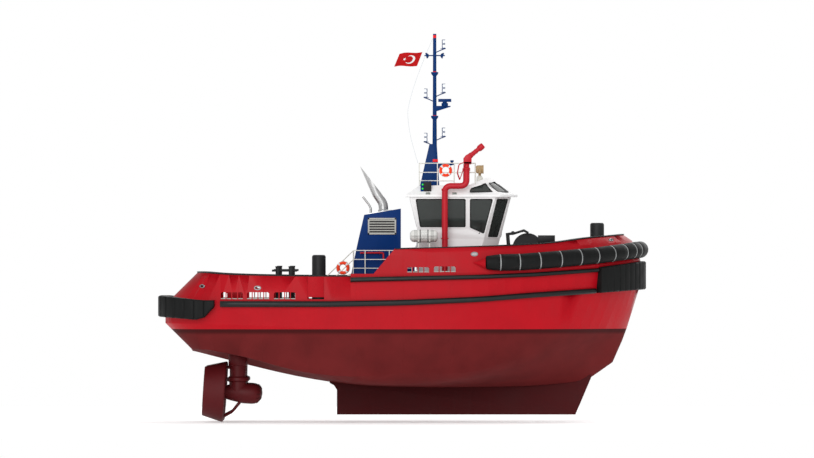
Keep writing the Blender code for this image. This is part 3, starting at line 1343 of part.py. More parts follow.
def make_propeller(side, y):
    """Four-bladed propeller on its hub, just aft of the gear housing."""
    start, aft = shaft_frame(y)
    hub_start = start + aft * (GEARCASE[-1][1] + GAP)
    across = Vector((0, 1, 0))
    up = aft.cross(across).normalized()
    shapes = [turned(((0.26, 0), (0.25, 0.34), (0.16, 0.56), (0.04, 0.66)), 14, hub_start, aft)]
    middle = hub_start + aft * 0.20
    for i in range(BLADES):
        angle = 2 * math.pi * (i + 0.5) / BLADES
        out = across * math.cos(angle) + up * math.sin(angle)
        tangent = aft.cross(out)
        rings = []
        for radius, chord, half_thickness, pitch in BLADE:
            slope = math.radians(pitch)
            along = tangent * math.cos(slope) + aft * math.sin(slope)
            thick = along.cross(out) * half_thickness
            centre = middle + out * radius
            half = along * chord / 2
            rings.append([centre - half, centre + thick, centre + half, centre - thick])
        shapes.append(loft(rings))
    fused("propeller_" + side, shapes, "bronze")


def main():
    """Build every piece of the tug."""
    for obj in list(bpy.data.objects):
        bpy.data.objects.remove(obj, do_unlink=True)
    rows = smooth(HULL_SECTIONS, HULL_STEPS, round_end=True)
    bow = smooth(BOW_SECTIONS, HULL_STEPS, round_end=True)
    hull = make_hull(rows)
    forecastle = make_forecastle(rows, bow)
    make_skeg(hull)
    aft_bulwarks = make_aft_bulwarks()
    make_gates(aft_bulwarks)
    bow_bulwarks = make_bow_bulwarks(bow, forecastle)
    make_rub_rails(rows, bow, hull, forecastle)
    make_stern_fender(rows, hull, [aft_bulwarks["stern"]])
    block = make_bow_block(rows, bow, hull, forecastle)
    around_bow = [forecastle, *bow_bulwarks.values(), block]
    cylinder = make_bow_cylinder(bow, around_bow)
    make_fairings(bow, [*around_bow, cylinder])
    deckhouse = make_deckhouse()
    make_door(deckhouse)
    clear_of(deckhouse, forecastle)
    make_wheelhouse()
    make_glazing()
    roof = make_roof()
    make_casings(forecastle)
    make_mast(roof)
    make_scanners()
    make_fire_mains(forecastle, roof)
    make_searchlight(roof)
    make_roof_rail(roof)
    make_casing_rails(forecastle, hull)
    make_liferafts(forecastle)
    make_winch(forecastle)
    make_staple("bow_staple", 9.99, 3.05, 5.44, forecastle)
    make_staple("aft_staple", -4.33, 1.40, 3.79, hull)
    make_bitts(hull)
    make_hatch(hull)
    make_thrusters(hull)


main()
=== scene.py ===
"""Looks of a harbor tug: finishes, lights and fine detail around its fixed frame.

Metres, +X towards the bow, +Y to port, +Z up. The origin is amidships on the centreline,
at the waterline. Each sub-assembly is a class, whose build method makes and dresses its pieces.
"""

import logging
import math
from dataclasses import dataclass, field
from enum import Enum
from typing import Any, Callable, Iterable, Sequence

import bmesh
import bpy
import numpy as np
from bmesh.types import BMesh
from mathutils import Matrix, Vector
from mathutils.bvhtree import BVHTree


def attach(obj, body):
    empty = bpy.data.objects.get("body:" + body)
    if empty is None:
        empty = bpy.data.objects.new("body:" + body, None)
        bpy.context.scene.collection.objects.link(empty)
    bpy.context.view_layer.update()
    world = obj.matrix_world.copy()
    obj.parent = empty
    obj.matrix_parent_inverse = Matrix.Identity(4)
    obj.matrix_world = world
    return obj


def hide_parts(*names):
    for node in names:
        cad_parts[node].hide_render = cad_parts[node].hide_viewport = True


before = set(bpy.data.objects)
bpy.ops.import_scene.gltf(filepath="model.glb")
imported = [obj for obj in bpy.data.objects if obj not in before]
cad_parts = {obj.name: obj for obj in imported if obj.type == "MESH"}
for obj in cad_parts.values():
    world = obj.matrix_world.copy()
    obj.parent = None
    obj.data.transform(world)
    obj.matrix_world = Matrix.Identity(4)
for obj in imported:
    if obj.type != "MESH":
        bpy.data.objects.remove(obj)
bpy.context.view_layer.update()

log = logging.getLogger("tug")
Point = Sequence[float]
Colour = tuple[float, float, float]

SIDES = {"starboard": -1, "port": 1}
UP = Vector((0, 0, 1))
WELD = 1e-4


class Slot(str, Enum):
    """The record's material slots."""

    HULL = "hull_red"
    BOTTOM = "antifouling"
    CASING = "casing_blue"
    HOUSE = "house_white"
    FIRE = "fire_red"
    LAMP = "lamp_tan"
    BLACK = "machinery_black"
    RUBBER = "fender_rubber"
    GLASS = "window_glass"
    EXHAUST = "exhaust_steel"
    BRONZE = "propeller_bronze"
    RAFT = "raft_shell"


def srgb(red: float, green: float, blue: float) -> Colour:
    """A display colour, 0 to 255, as the linear colour that shaders take."""
    values = [c / 255 for c in (red, green, blue)]
    return tuple(c / 12.92 if c <= 0.04045 else ((c + 0.055) / 1.055) ** 2.4 for c in values)


# Shader node groups

def new_group(name: str, inputs: Sequence[tuple], outputs: Sequence[tuple]) -> tuple[Any, Any, Any]:
    """Start a shader node group.

    Args:
        name: The group's name.
        inputs: (name, kind) of each input, where kind is Float, Vector or Color.
        outputs: (name, kind) of each output.

    Returns:
        The tree, its input node and its output node.
    """
    tree = bpy.data.node_groups.new(name, "ShaderNodeTree")
    for way, sockets in (("INPUT", inputs), ("OUTPUT", outputs)):
        for label, kind in sockets:
            tree.interface.new_socket(name=label, in_out=way, socket_type="NodeSocket" + kind)
    return tree, tree.nodes.new("NodeGroupInput"), tree.nodes.new("NodeGroupOutput")


def add_node(tree: Any, kind: str, inputs: dict | None = None, **settings: Any) -> Any:
    """Add a shader node.

    Args:
        tree: The node tree.
        kind: The node's type, without ShaderNode.
        inputs: Values or sockets for its inputs, by name or number.
        settings: The node's own properties.

    Returns:
        The node.
    """
    node = tree.nodes.new("ShaderNode" + kind)
    for key, value in settings.items():
        setattr(node, key, value)
    for key, value in (inputs or {}).items():
        if isinstance(value, bpy.types.NodeSocket):
            tree.links.new(value, node.inputs[key])
        else:
            node.inputs[key].default_value = value
    return node


def mix_colours(tree: Any, factor: Any, first: Any, second: Any) -> Any:
    """A colour mix's result: first at factor 0, second at 1."""
    return add_node(tree, "Mix", {0: factor, 6: first, 7: second}, data_type="RGBA").outputs[2]


def noise(tree: Any, vector: Any, scale: Any, detail: float) -> Any:
    """A noise texture's value."""
    inputs = {"Vector": vector, "Scale": scale, "Detail": detail}
    return add_node(tree, "TexNoise", inputs).outputs[0]


def mottle_group() -> Any:
    """Slow change between two colours, as in hand-rolled paint, with its mask."""
    inputs = (("Vector", "Vector"), ("Scale", "Float"), ("Dark", "Color"), ("Light", "Color"))
    tree, start, end = new_group("mottle", inputs, (("Colour", "Color"), ("Mask", "Float")))
    blotches = noise(tree, start.outputs[0], start.outputs[1], 4.0)
    mask = add_node(tree, "MapRange", {0: blotches, 1: 0.32, 2: 0.68}).outputs[0]
    tree.links.new(mix_colours(tree, mask, start.outputs[2], start.outputs[3]), end.inputs[0])
    tree.links.new(mask, end.inputs[1])
    return tree


def grain_group() -> Any:
    """Fine surface height: orange peel in paint, or the skin of rubber."""
    inputs = (("Vector", "Vector"), ("Scale", "Float"), ("Coarse", "Float"))
    tree, start, end = new_group("grain", inputs, (("Height", "Float"),))
    fine = noise(tree, start.outputs[0], start.outputs[1], 3.0)
    broad = noise(tree, start.outputs[0], 1.7, 1.0)
    swell = add_node(tree, "Math", {0: broad, 1: start.outputs[2]}, operation="MULTIPLY")
    total = add_node(tree, "Math", {0: fine, 1: swell.outputs[0]}, operation="ADD")
    tree.links.new(total.outputs[0], end.inputs[0])
    return tree


def streak_group() -> Any:
    """Mask of thin runs down a wall, where rain has carried dust."""
    tree, start, end = new_group("streaks", (("Vector", "Vector"), ("Amount", "Float")),
                                 (("Mask", "Float"),))
    long = add_node(tree, "VectorMath", {0: start.outputs[0], 1: (5.0, 5.0, 0.35)}, operation="MULTIPLY")
    dust = noise(tree, long.outputs[0], 1.0, 3.0)
    runs = add_node(tree, "MapRange", {0: dust, 1: 0.56, 2: 0.76})
    mask = add_node(tree, "Math", {0: runs.outputs[0], 1: start.outputs[1]}, operation="MULTIPLY")
    tree.links.new(mask.outputs[0], end.inputs[0])
    return tree


def seam_group() -> Any:
    """Height of welded butts between plates, with the slight hollow of each plate."""
    tree, start, end = new_group("plate_seams", (("Vector", "Vector"), ("Pitch", "Float")),
                                 (("Height", "Float"),))
    parts = add_node(tree, "SeparateXYZ", {0: start.outputs[0]})
    turns = add_node(tree, "Math", {0: parts.outputs[0], 1: start.outputs[1]}, operation="DIVIDE")
    fold = add_node(tree, "Math", {0: turns.outputs[0], 1: 0.5}, operation="PINGPONG")
    bead = add_node(tree, "MapRange", {0: fold.outputs[0], 1: 0.0, 2: 0.006, 3: 1.0, 4: 0.0})
    hollow = add_node(tree, "MapRange", {0: fold.outputs[0], 1: 0.0, 2: 0.5, 3: 1.0, 4: 0.0},
                      interpolation_type="SMOOTHSTEP")
    total = add_node(tree, "Math", {0: bead.outputs[0], 1: hollow.outputs[0]}, operation="ADD")
    tree.links.new(total.outputs[0], end.inputs[0])
    return tree


def strand_group() -> Any:
    """Height of twisted strands, along a direction that the vector's X gives."""
    tree, start, end = new_group("strands", (("Vector", "Vector"), ("Scale", "Float")),
                                 (("Height", "Float"),))
    wave = add_node(tree, "TexWave", {"Vector": start.outputs[0], "Scale": start.outputs[1],
                                      "Distortion": 0.6}, wave_type="BANDS", bands_direction="DIAGONAL")
    tree.links.new(wave.outputs[1], end.inputs[0])
    return tree


GROUPS: dict[str, Any] = {
    "mottle": mottle_group(),
    "grain": grain_group(),
    "streaks": streak_group(),
    "seams": seam_group(),
    "strands": strand_group(),
}


# Finishes

class Recipe:
    """A material's node tree under construction.

    Args:
        name: The material's name.
    """

    def __init__(self, name: str) -> None:
        self.material = bpy.data.materials.new(name)
        self.material.use_nodes = True
        self.tree = self.material.node_tree
        self.shader = self.tree.nodes["Principled BSDF"]
        self.object_coords = add_node(self.tree, "TexCoord").outputs["Object"]

    def node(self, kind: str, inputs: dict | None = None, **settings: Any) -> Any:
        """Add a node to this material."""
        return add_node(self.tree, kind, inputs, **settings)

    def group(self, name: str, *values: Any, vector: Any = None) -> Any:
        """Place a shared effect.

        Args:
            name: The effect's name in GROUPS.
            values: Its inputs after the vector, in order.
            vector: Coordinates other than the object's own.

        Returns:
            The group node.
        """
        node = self.tree.nodes.new("ShaderNodeGroup")
        node.node_tree = GROUPS[name]
        self.tree.links.new(vector or self.object_coords, node.inputs[0])
        for socket, value in zip(list(node.inputs)[1:], values):
            if isinstance(value, tuple):
                value = (*value, 1.0)
            socket.default_value = value
        return node

    def fix(self, **values: Any) -> None:
        """Set the shader's own sockets, by name with _ for a space."""
        for name, value in values.items():
            self.shader.inputs[name.replace("_", " ")].default_value = value

    def feed(self, socket: str, source: Any) -> None:
        """Drive one of the shader's sockets."""
        self.tree.links.new(source, self.shader.inputs[socket])

    def stain(self, mottle: Any, runs: Any, over: Colour) -> None:
        """Take the base colour from a mottle, with another colour where the runs are."""
        mixed = mix_colours(self.tree, runs.outputs[0], mottle.outputs[0], (*over, 1.0))
        self.feed("Base Color", mixed)

    def bump(self, height: Any, distance: float, strength: float = 1.0) -> None:
        """Feed a height to the shader's normal."""
        node = self.node("Bump", {"Height": height, "Distance": distance, "Strength": strength})
        self.feed("Normal", node.outputs[0])

    def spread(self, source: Any, low: float, high: float) -> Any:
        """A mask stretched between two values."""
        return self.node("MapRange", {0: source, 3: low, 4: high}).outputs[0]


@dataclass(frozen=True)
class Finish:
    """A surface finish, made into a material the first time it is asked for."""

    name: str
    tint: Colour

    def mix(self, recipe: Recipe) -> None:
        """Fill in the material's nodes."""
        raise NotImplementedError

    def material(self) -> Any:
        """The finish's material."""
        if self.name not in bpy.data.materials:
            recipe = Recipe(self.name)
            self.mix(recipe)
            recipe.material.diffuse_color = (*self.tint, 1.0)
        return bpy.data.materials[self.name]

    def shades(self, spread: float) -> tuple[Colour, Colour]:
        """The tint a little darker and a little lighter."""
        return tuple(c * (1 - spread) for c in self.tint), tuple(c * (1 + spread) for c in self.tint)


@dataclass(frozen=True)
class Paint(Finish):
    """Marine paint on steel, with rolled texture and faint runs."""

    roughness: tuple[float, float] = (0.32, 0.46)
    specular: float = 0.22
    spread: float = 0.05
    scale: float = 0.8
    grain: float = 90.0
    depth: float = 0.0006
    runs: float = 0.10
    pitch: float = 0.0
    coat: float = 0.0

    def mix(self, recipe: Recipe) -> None:
        """Mottled colour, runs of dust, orange peel and plate seams."""
        dark, light = self.shades(self.spread)
        mottle = recipe.group("mottle", self.scale, dark, light)
        runs = recipe.group("streaks", self.runs)
        dust = tuple(0.55 * c + 0.02 for c in self.tint)
        recipe.stain(mottle, runs, dust)
        recipe.feed("Roughness", recipe.spread(mottle.outputs[1], *self.roughness))
        height = recipe.group("grain", self.grain, 2.0).outputs[0]
        if self.pitch:
            seams = recipe.group("seams", self.pitch).outputs[0]
            lifted = recipe.node("Math", {0: seams, 1: 5.0}, operation="MULTIPLY").outputs[0]
            height = recipe.node("Math", {0: height, 1: lifted}, operation="ADD").outputs[0]
        recipe.bump(height, self.depth)
        recipe.fix(Specular_IOR_Level=self.specular, Coat_Weight=self.coat, Coat_Roughness=0.15)


@dataclass(frozen=True)
class HullPaint(Paint):
    """Topside paint above the waterline and antifouling below it."""

    bottom: Colour = srgb(96, 26, 27)
    edge: float = 0.0

    def mix(self, recipe: Recipe) -> None:
        """Two paints that meet at the waterline, with a dark band just under it."""
        Paint.mix(self, recipe)
        above = recipe.shader.inputs["Base Color"].links[0].from_socket
        rough = recipe.shader.inputs["Roughness"].links[0].from_socket
        dark, light = (tuple(c * k for c in self.bottom) for k in (0.88, 1.10))
        below = recipe.group("mottle", 0.9, dark, light)
        height = recipe.node("SeparateXYZ", {0: recipe.object_coords}).outputs[2]
        # A dark band just under the waterline: darkest from 0.14 m below it up to it, fading out by 0.30 m
        # below.
        waterline_dark_band = recipe.node("MapRange", {0: height, 1: self.edge - 0.30, 2: self.edge - 0.14}).outputs[0]
        darkened = mix_colours(recipe.tree, waterline_dark_band, below.outputs[0], (*(0.42 * c for c in self.bottom), 1.0))
        topside = recipe.node("Math", {0: height, 1: self.edge}, operation="GREATER_THAN").outputs[0]
        recipe.feed("Base Color", mix_colours(recipe.tree, topside, darkened, above))
        dull = recipe.node("Mix", {0: topside, 2: 0.78, 3: rough}).outputs[0]
        recipe.feed("Roughness", dull)


@dataclass(frozen=True)
class Rubber(Finish):
    """Black fender rubber, dusty on its skin."""

    roughness: tuple[float, float] = (0.50, 0.68)
    dust: Colour = srgb(60, 62, 62)
    specular: float = 0.25

    def mix(self, recipe: Recipe) -> None:
        """Fine pores under a dusty bloom with thin runs."""
        dark, light = self.shades(0.2)
        mottle = recipe.group("mottle", 1.6, dark, light)
        runs = recipe.group("streaks", 0.16)
        recipe.stain(mottle, runs, self.dust)
        recipe.feed("Roughness", recipe.spread(mottle.outputs[1], *self.roughness))
        recipe.bump(recipe.group("grain", 70.0, 3.0).outputs[0], 0.0012)
        recipe.fix(Specular_IOR_Level=self.specular)


@dataclass(frozen=True)
class Metal(Finish):
    """Bare or polished metal, brushed and a little stained."""

    roughness: tuple[float, float] = (0.28, 0.42)
    metallic: float = 1.0
    grain: float = 60.0
    stain: float = 0.15

    def mix(self, recipe: Recipe) -> None:
        """Mottled metal with runs of soot or salt."""
        dark, light = self.shades(0.12)
        mottle = recipe.group("mottle", 2.5, dark, light)
        runs = recipe.group("streaks", self.stain)
        darkened = tuple(c * 0.45 for c in self.tint)
        recipe.stain(mottle, runs, darkened)
        recipe.feed("Roughness", recipe.spread(mottle.outputs[1], *self.roughness))
        recipe.bump(recipe.group("grain", self.grain, 1.0).outputs[0], 0.0004)
        recipe.fix(Metallic=self.metallic)


@dataclass(frozen=True)
class Glass(Finish):
    """Tinted pane with the faint film of dried spray."""

    alpha: float = 1.0
    roughness: tuple[float, float] = (0.04, 0.12)
    glow: float = 0.0

    def mix(self, recipe: Recipe) -> None:
        """A dark gloss tint, smeared a little."""
        dark, light = self.shades(0.06)
        mottle = recipe.group("mottle", 1.3, dark, light)
        recipe.feed("Base Color", mottle.outputs[0])
        recipe.feed("Roughness", recipe.spread(mottle.outputs[1], *self.roughness))
        recipe.fix(Alpha=self.alpha, Specular_IOR_Level=0.35, Emission_Strength=self.glow,
                   Emission_Color=(*self.tint, 1.0))


@dataclass(frozen=True)
class Rope(Finish):
    """Laid rope, whose strands wind along it."""

    strands: float = 22.0

    def mix(self, recipe: Recipe) -> None:
        """Strands as bump, with painted shade: the colour darkens in the grooves between strands."""
        dark, light = self.shades(0.22)
        height = recipe.group("strands", self.strands).outputs[0]
        # Painted shade: darker where the strand height is low, in the grooves, and lighter on the crowns.
        recipe.feed("Base Color", mix_colours(recipe.tree, height, (*dark, 1.0), (*light, 1.0)))
        recipe.feed("Roughness", recipe.spread(height, 0.7, 0.9))
        recipe.bump(height, 0.004)


@dataclass(frozen=True)
class Cloth(Finish):
    """Woven bunting."""

    def mix(self, recipe: Recipe) -> None:
        """Fine weave with a faint sheen."""
        dark, light = self.shades(0.12)
        mottle = recipe.group("mottle", 6.0, dark, light)
        recipe.feed("Base Color", mottle.outputs[0])
        recipe.feed("Roughness", recipe.spread(mottle.outputs[1], 0.75, 0.9))
        recipe.bump(recipe.group("grain", 400.0, 0.5).outputs[0], 0.0003)
        recipe.fix(Sheen_Weight=0.2, Specular_IOR_Level=0.15)


RED = HullPaint("topside_red", srgb(170, 7, 23), specular=0.12, pitch=2.4)
BULWARK_RED = Paint("bulwark_red", srgb(168, 8, 23), specular=0.12, pitch=1.2)
# The bottom's antifouling made darker: painted shade for the skeg and the thrusters' ribs.
SHADED_ANTIFOULING = Paint("antifouling_painted_shade", srgb(66, 18, 20), (0.55, 0.70), 0.08, pitch=1.8)
POD_RED = Paint("thruster_antifouling", srgb(80, 16, 20), (0.42, 0.60), 0.15)
DECK = Paint("deck_nonskid", srgb(116, 40, 40), (0.7, 0.85), 0.15, grain=260.0, depth=0.0015, spread=0.12)
BLUE = Paint("casing_blue_paint", srgb(0, 44, 104), specular=0.08, pitch=1.25)
MAST_BLUE = Paint("mast_blue_paint", srgb(2, 48, 104), specular=0.08)
WHITE = Paint("house_white_paint", srgb(240, 240, 240), specular=0.3, spread=0.015, runs=0.05)
CREAM = Paint("rail_white_paint", srgb(222, 222, 214), spread=0.03, runs=0.04)
BRIGHT_RED = Paint("fire_main_red", srgb(184, 26, 40), specular=0.22, spread=0.06)
BAND_RED = Paint("mast_band_red", srgb(226, 14, 22), spread=0.04)
BLACK = Paint("machinery_black_paint", srgb(38, 39, 40), (0.42, 0.58), 0.2, spread=0.2, depth=0.001)
CAP_BLACK = Paint("cap_rail_black", srgb(14, 17, 17), (0.4, 0.55), 0.2, spread=0.2)
TAN = Paint("searchlight_tan", srgb(176, 148, 108), (0.35, 0.5), 0.3, spread=0.08)
RAFT_WHITE = Paint("raft_shell_white", srgb(226, 226, 222), (0.35, 0.5), 0.3, spread=0.03)
LOUVRE_GREY = Paint("louvre_grey", srgb(172, 172, 166), spread=0.05, runs=0.12)
LAMP_GREY = Paint("eave_lamp_grey", srgb(126, 132, 126), spread=0.08, runs=0.12)
BOX_BLACK = Paint("lamp_screen_black", srgb(30, 30, 31), (0.5, 0.6), 0.2)
ORANGE = Paint("lifebuoy_orange", srgb(240, 62, 18), (0.5, 0.62), 0.25, spread=0.05, runs=0.02)
TAPE_WHITE = Paint("reflective_tape", srgb(224, 226, 226), (0.3, 0.4), 0.5, spread=0.02)
RUBBER = Rubber("fender_rubber_skin", srgb(17, 18, 18), dust=srgb(46, 48, 48), specular=0.14)
RAIL_RUBBER = Rubber("rub_rail_rubber", srgb(12, 17, 17), (0.38, 0.52), srgb(34, 42, 42), 0.3)
STRAP = Metal("fender_strap_steel", srgb(150, 152, 152), (0.4, 0.55), 0.6)
STEEL = Metal("exhaust_stainless", srgb(188, 188, 188))
SOOT = Paint("exhaust_soot", srgb(22, 22, 23), (0.8, 0.9), 0.1, spread=0.3)
BRONZE = Metal("propeller_bronze_cast", srgb(176, 136, 74), (0.3, 0.45))
GALVANISED = Metal("galvanised_steel", srgb(150, 154, 156), (0.45, 0.6), 0.8, grain=35.0)
PANE = Glass("window_pane_dark", srgb(54, 59, 57), 0.93)
SEAL = Rubber("window_seal", srgb(12, 13, 13), (0.45, 0.55), srgb(18, 19, 19), 0.2)
LENS = Glass("clear_lens", srgb(236, 240, 242), 0.9, glow=0.25)
GREEN_LENS = Glass("green_lens", srgb(36, 190, 48), 1.0, glow=0.45)
RED_LENS = Glass("red_lens", srgb(214, 30, 34), 1.0, glow=0.45)
HAWSER = Rope("hawser_rope", srgb(196, 196, 184))
HALYARD = Rope("halyard_line", srgb(178, 192, 204), 160.0)
GRAB_LINE = Rope("grab_line", srgb(220, 220, 214), 160.0)
INSIDE = Paint("helm_grey", srgb(46, 48, 48), (0.6, 0.7), 0.2)
FLAG_RED = Cloth("flag_red", srgb(176, 8, 12))


# Shapes, each a bmesh made with operators

def lathe(profile: Sequence[Point], centre: Point = (0, 0, 0), axis: Point = (0, 0, 1), steps: int = 48,
          ring: bool = False) -> BMesh:
    """Turn a profile about an axis.

    Args:
        profile: (radius, place along the axis) pairs.
        centre: The profile's zero.
        axis: The axis's direction.
        steps: Steps in the full turn.
        ring: The profile closes on itself, as on a nozzle.

    Returns:
        The closed shape.
    """
    bm = bmesh.new()
    verts = [bm.verts.new((radius, 0, place)) for radius, place in profile]
    pairs = list(zip(verts, verts[1:])) + ([(verts[-1], verts[0])] if ring else [])
    edges = [bm.edges.new(pair) for pair in pairs]
    bmesh.ops.spin(bm, geom=verts + edges, cent=(0, 0, 0), axis=(0, 0, 1), dvec=(0, 0, 0),
                   angle=2 * math.pi, steps=steps, use_merge=True)
    bmesh.ops.remove_doubles(bm, verts=bm.verts, dist=WELD)
    close_holes(bm)
    turn = UP.rotation_difference(Vector(axis)).to_matrix().to_4x4()
    bmesh.ops.transform(bm, matrix=Matrix.Translation(centre) @ turn, verts=bm.verts)
    return outward(bm)


def turns(count: int, shift: float = 0.0) -> list[float]:
    """The angles of a full turn in equal steps, moved on by a share of a step."""
    return [2 * math.pi * (k + shift) / count for k in range(count)]


def close_holes(bm: BMesh) -> None:
    """Fill the open ends of a shape."""
    rims = [edge for edge in bm.edges if edge.is_boundary]
    if rims:
        bmesh.ops.holes_fill(bm, edges=rims, sides=0)


def outward(bm: BMesh) -> BMesh:
    """Point the faces outwards."""
    bmesh.ops.recalc_face_normals(bm, faces=bm.faces)
    return bm


def bridge(rings: Sequence[Sequence[Point]], ends: bool = True, ring: bool = False) -> BMesh:
    """A skin over closed rings of points.

    Args:
        rings: The rings, in order.
        ends: Close the first and the last ring.
        ring: Join the last ring to the first.

    Returns:
        The shape.
    """
    bm = bmesh.new()
    verts = [bm.verts.new(point) for point in rings[0]]
    first = [bm.edges.new(pair) for pair in zip(verts, verts[1:] + verts[:1])]
    edges = first
    for points in list(rings[1:]) + ([rings[0]] if ring else []):
        order = {tuple(vert.co): i for i, vert in enumerate(verts)}
        grown = bmesh.ops.extrude_edge_only(bm, edges=edges)["geom"]
        fresh = [item for item in grown if isinstance(item, bmesh.types.BMVert)]
        verts = sorted(fresh, key=lambda vert: order[tuple(vert.co)])
        edges = [item for item in grown if isinstance(item, bmesh.types.BMEdge)
                 and item.verts[0] in fresh and item.verts[1] in fresh]
        for vert, point in zip(verts, points):
            vert.co = point
    if ring:
        bmesh.ops.remove_doubles(bm, verts=bm.verts, dist=1e-6)
    elif ends:
        for rim in (first, edges):
            bmesh.ops.contextual_create(bm, geom=rim)
    return outward(bm)


def prism(corners: Iterable[Point], move: Point) -> BMesh:
    """The solid that a flat face sweeps when it is moved along a vector."""
    bm = bmesh.new()
    bmesh.ops.contextual_create(bm, geom=[bm.verts.new(corner) for corner in corners])
    grown = bmesh.ops.extrude_face_region(bm, geom=list(bm.faces))
    far = [item for item in grown["geom"] if isinstance(item, bmesh.types.BMVert)]
    bmesh.ops.translate(bm, vec=move, verts=far)
    return outward(bm)


def slab(outline: Sequence[Point], low: float, high: float, axis: str = "Y", bevel: float = 0.0) -> BMesh:
    """An outline drawn from low to high along an axis.

    Args:
        outline: Points in the plane across the axis.
        low: The first end.
        high: The second end.
        axis: X, Y or Z.
        bevel: Width of the rounded edges.

    Returns:
        The solid.
    """
    place, move = {
        "X": (lambda u, v: (low, u, v), (high - low, 0, 0)),
        "Y": (lambda u, v: (u, low, v), (0, high - low, 0)),
        "Z": (lambda u, v: (u, v, low), (0, 0, high - low)),
    }[axis]
    bm = prism([place(u, v) for u, v in outline], move)
    return soften(bm, bevel) if bevel else bm


def block(low: Point, high: Point, bevel: float = 0.0) -> BMesh:
    """A box between two corners, with rounded edges of this width."""
    bm = bmesh.new()
    low, high = Vector(low), Vector(high)
    low, high = (Vector(map(min, low, high)), Vector(map(max, low, high)))
    size = high - low
    matrix = Matrix.Translation((low + high) / 2) @ Matrix.Diagonal((*size, 1))
    bmesh.ops.create_cube(bm, size=1.0, matrix=matrix)
    return soften(bm, min(bevel, 0.4 * min(size))) if bevel else bm


def soften(bm: BMesh, width: float, angle: float = 30.0, segments: int = 2) -> BMesh:
    """Round the edges that turn by more than an angle, in degrees."""
    sharp = [edge for edge in bm.edges
             if edge.is_manifold and edge.calc_face_angle(0.0) > math.radians(angle)]
    bmesh.ops.bevel(bm, geom=sharp, offset=width, offset_type="OFFSET", segments=segments, profile=0.5,
                    affect="EDGES", clamp_overlap=True, material=-1)
    return bm


def rod(start: Point, end: Point, radius: float, sides: int = 16, far_radius: float | None = None) -> BMesh:
    """A round bar between two points."""
    bm = bmesh.new()
    start, end = Vector(start), Vector(end)
    turn = UP.rotation_difference(end - start).to_matrix().to_4x4()
    matrix = Matrix.Translation((start + end) / 2) @ turn
    bmesh.ops.create_cone(bm, cap_ends=True, segments=sides, radius1=radius,
                          radius2=radius if far_radius is None else far_radius,
                          depth=(end - start).length, matrix=matrix)
    return bm


def ball(centre: Point, radius: float, sides: int = 16, stretch: Point = (1, 1, 1)) -> BMesh:
    """A sphere, or an ellipsoid when stretched."""
    bm = bmesh.new()
    matrix = Matrix.Translation(centre) @ Matrix.Diagonal((*stretch, 1))
    bmesh.ops.create_uvsphere(bm, u_segments=sides, v_segments=sides // 2, radius=radius, matrix=matrix)
    return bm


def round_curve(name: str, points: Sequence[Point], radius: float, resolution: int, caps: bool = True,
                closed: bool = False) -> Any:
    """A curve through points with a round bevel.

    Args:
        name: The curve's name.
        points: Its points, joined by straight stretches.
        radius: The bevel's radius.
        resolution: The bevel's resolution, as the curve counts it.
        caps: Fill the ends.
        closed: The line is a loop.

    Returns:
        The curve's data.
    """
    curve = bpy.data.curves.new(name, "CURVE")
    curve.dimensions = "3D"
    curve.bevel_depth = radius
    curve.bevel_resolution = resolution
    curve.use_fill_caps = caps
    spline = curve.splines.new("POLY")
    spline.points.add(len(points) - 1)
    spline.use_cyclic_u = closed
    for target, point in zip(spline.points, points):
        target.co = (*point, 1.0)
    return curve


def pipe(points: Sequence[Point], radius: float, sides: int = 16, caps: bool = True,
         closed: bool = False) -> BMesh:
    """A round tube along points that lie close together at its bends.

    Args:
        points: The centreline.
        radius: The tube's outer radius.
        sides: Sides round the tube, an even number.
        caps: Close the ends.
        closed: The line is a loop.

    Returns:
        The tube.
    """
    curve = round_curve("pipe", points, radius, max(0, sides // 2 - 2), caps, closed)
    holder = bpy.data.objects.new("pipe", curve)
    mesh = bpy.data.meshes.new_from_object(holder)
    bm = bmesh.new()
    bm.from_mesh(mesh)
    bpy.data.meshes.remove(mesh)
    bpy.data.objects.remove(holder)
    bpy.data.curves.remove(curve)
    bmesh.ops.remove_doubles(bm, verts=bm.verts, dist=1e-5)
    return outward(bm)


def rounded(points: Sequence[Point], radius: float, steps: int = 5, closed: bool = False) -> list[Vector]:
    """The line through points with its corners turned at a radius."""
    line = [Vector(point) for point in points]
    count = len(line)
    result: list[Vector] = []
    for i, corner in enumerate(line):
        if not closed and i in (0, count - 1):
            result.append(corner)
            continue
        before, after = line[i - 1] - corner, line[(i + 1) % count] - corner
        half = before.angle(after) / 2
        reach = min(radius / math.tan(half), 0.49 * before.length, 0.49 * after.length)
        first, last = before.normalized() * reach, after.normalized() * reach
        for k in range(steps + 1):
            t = k / steps
            result.append(corner + first * (1 - t) ** 2 + last * t ** 2)
    return result


def joined(shapes: Iterable[BMesh]) -> BMesh:
    """One bmesh that holds all the shapes."""
    whole = bmesh.new()
    scratch = bpy.data.meshes.new("scratch")
    for shape in shapes:
        shape.to_mesh(scratch)
        shape.free()
        whole.from_mesh(scratch)
    bpy.data.meshes.remove(scratch)
    return whole


def cad_copy(node: str) -> BMesh:
    """A merged copy of a frame node's mesh, with its flat faces joined."""
    bm = bmesh.new()
    bm.from_mesh(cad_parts[node].data)
    bmesh.ops.remove_doubles(bm, verts=bm.verts, dist=WELD)
    bmesh.ops.dissolve_limit(bm, angle_limit=math.radians(0.4), verts=bm.verts, edges=bm.edges)
    return bm


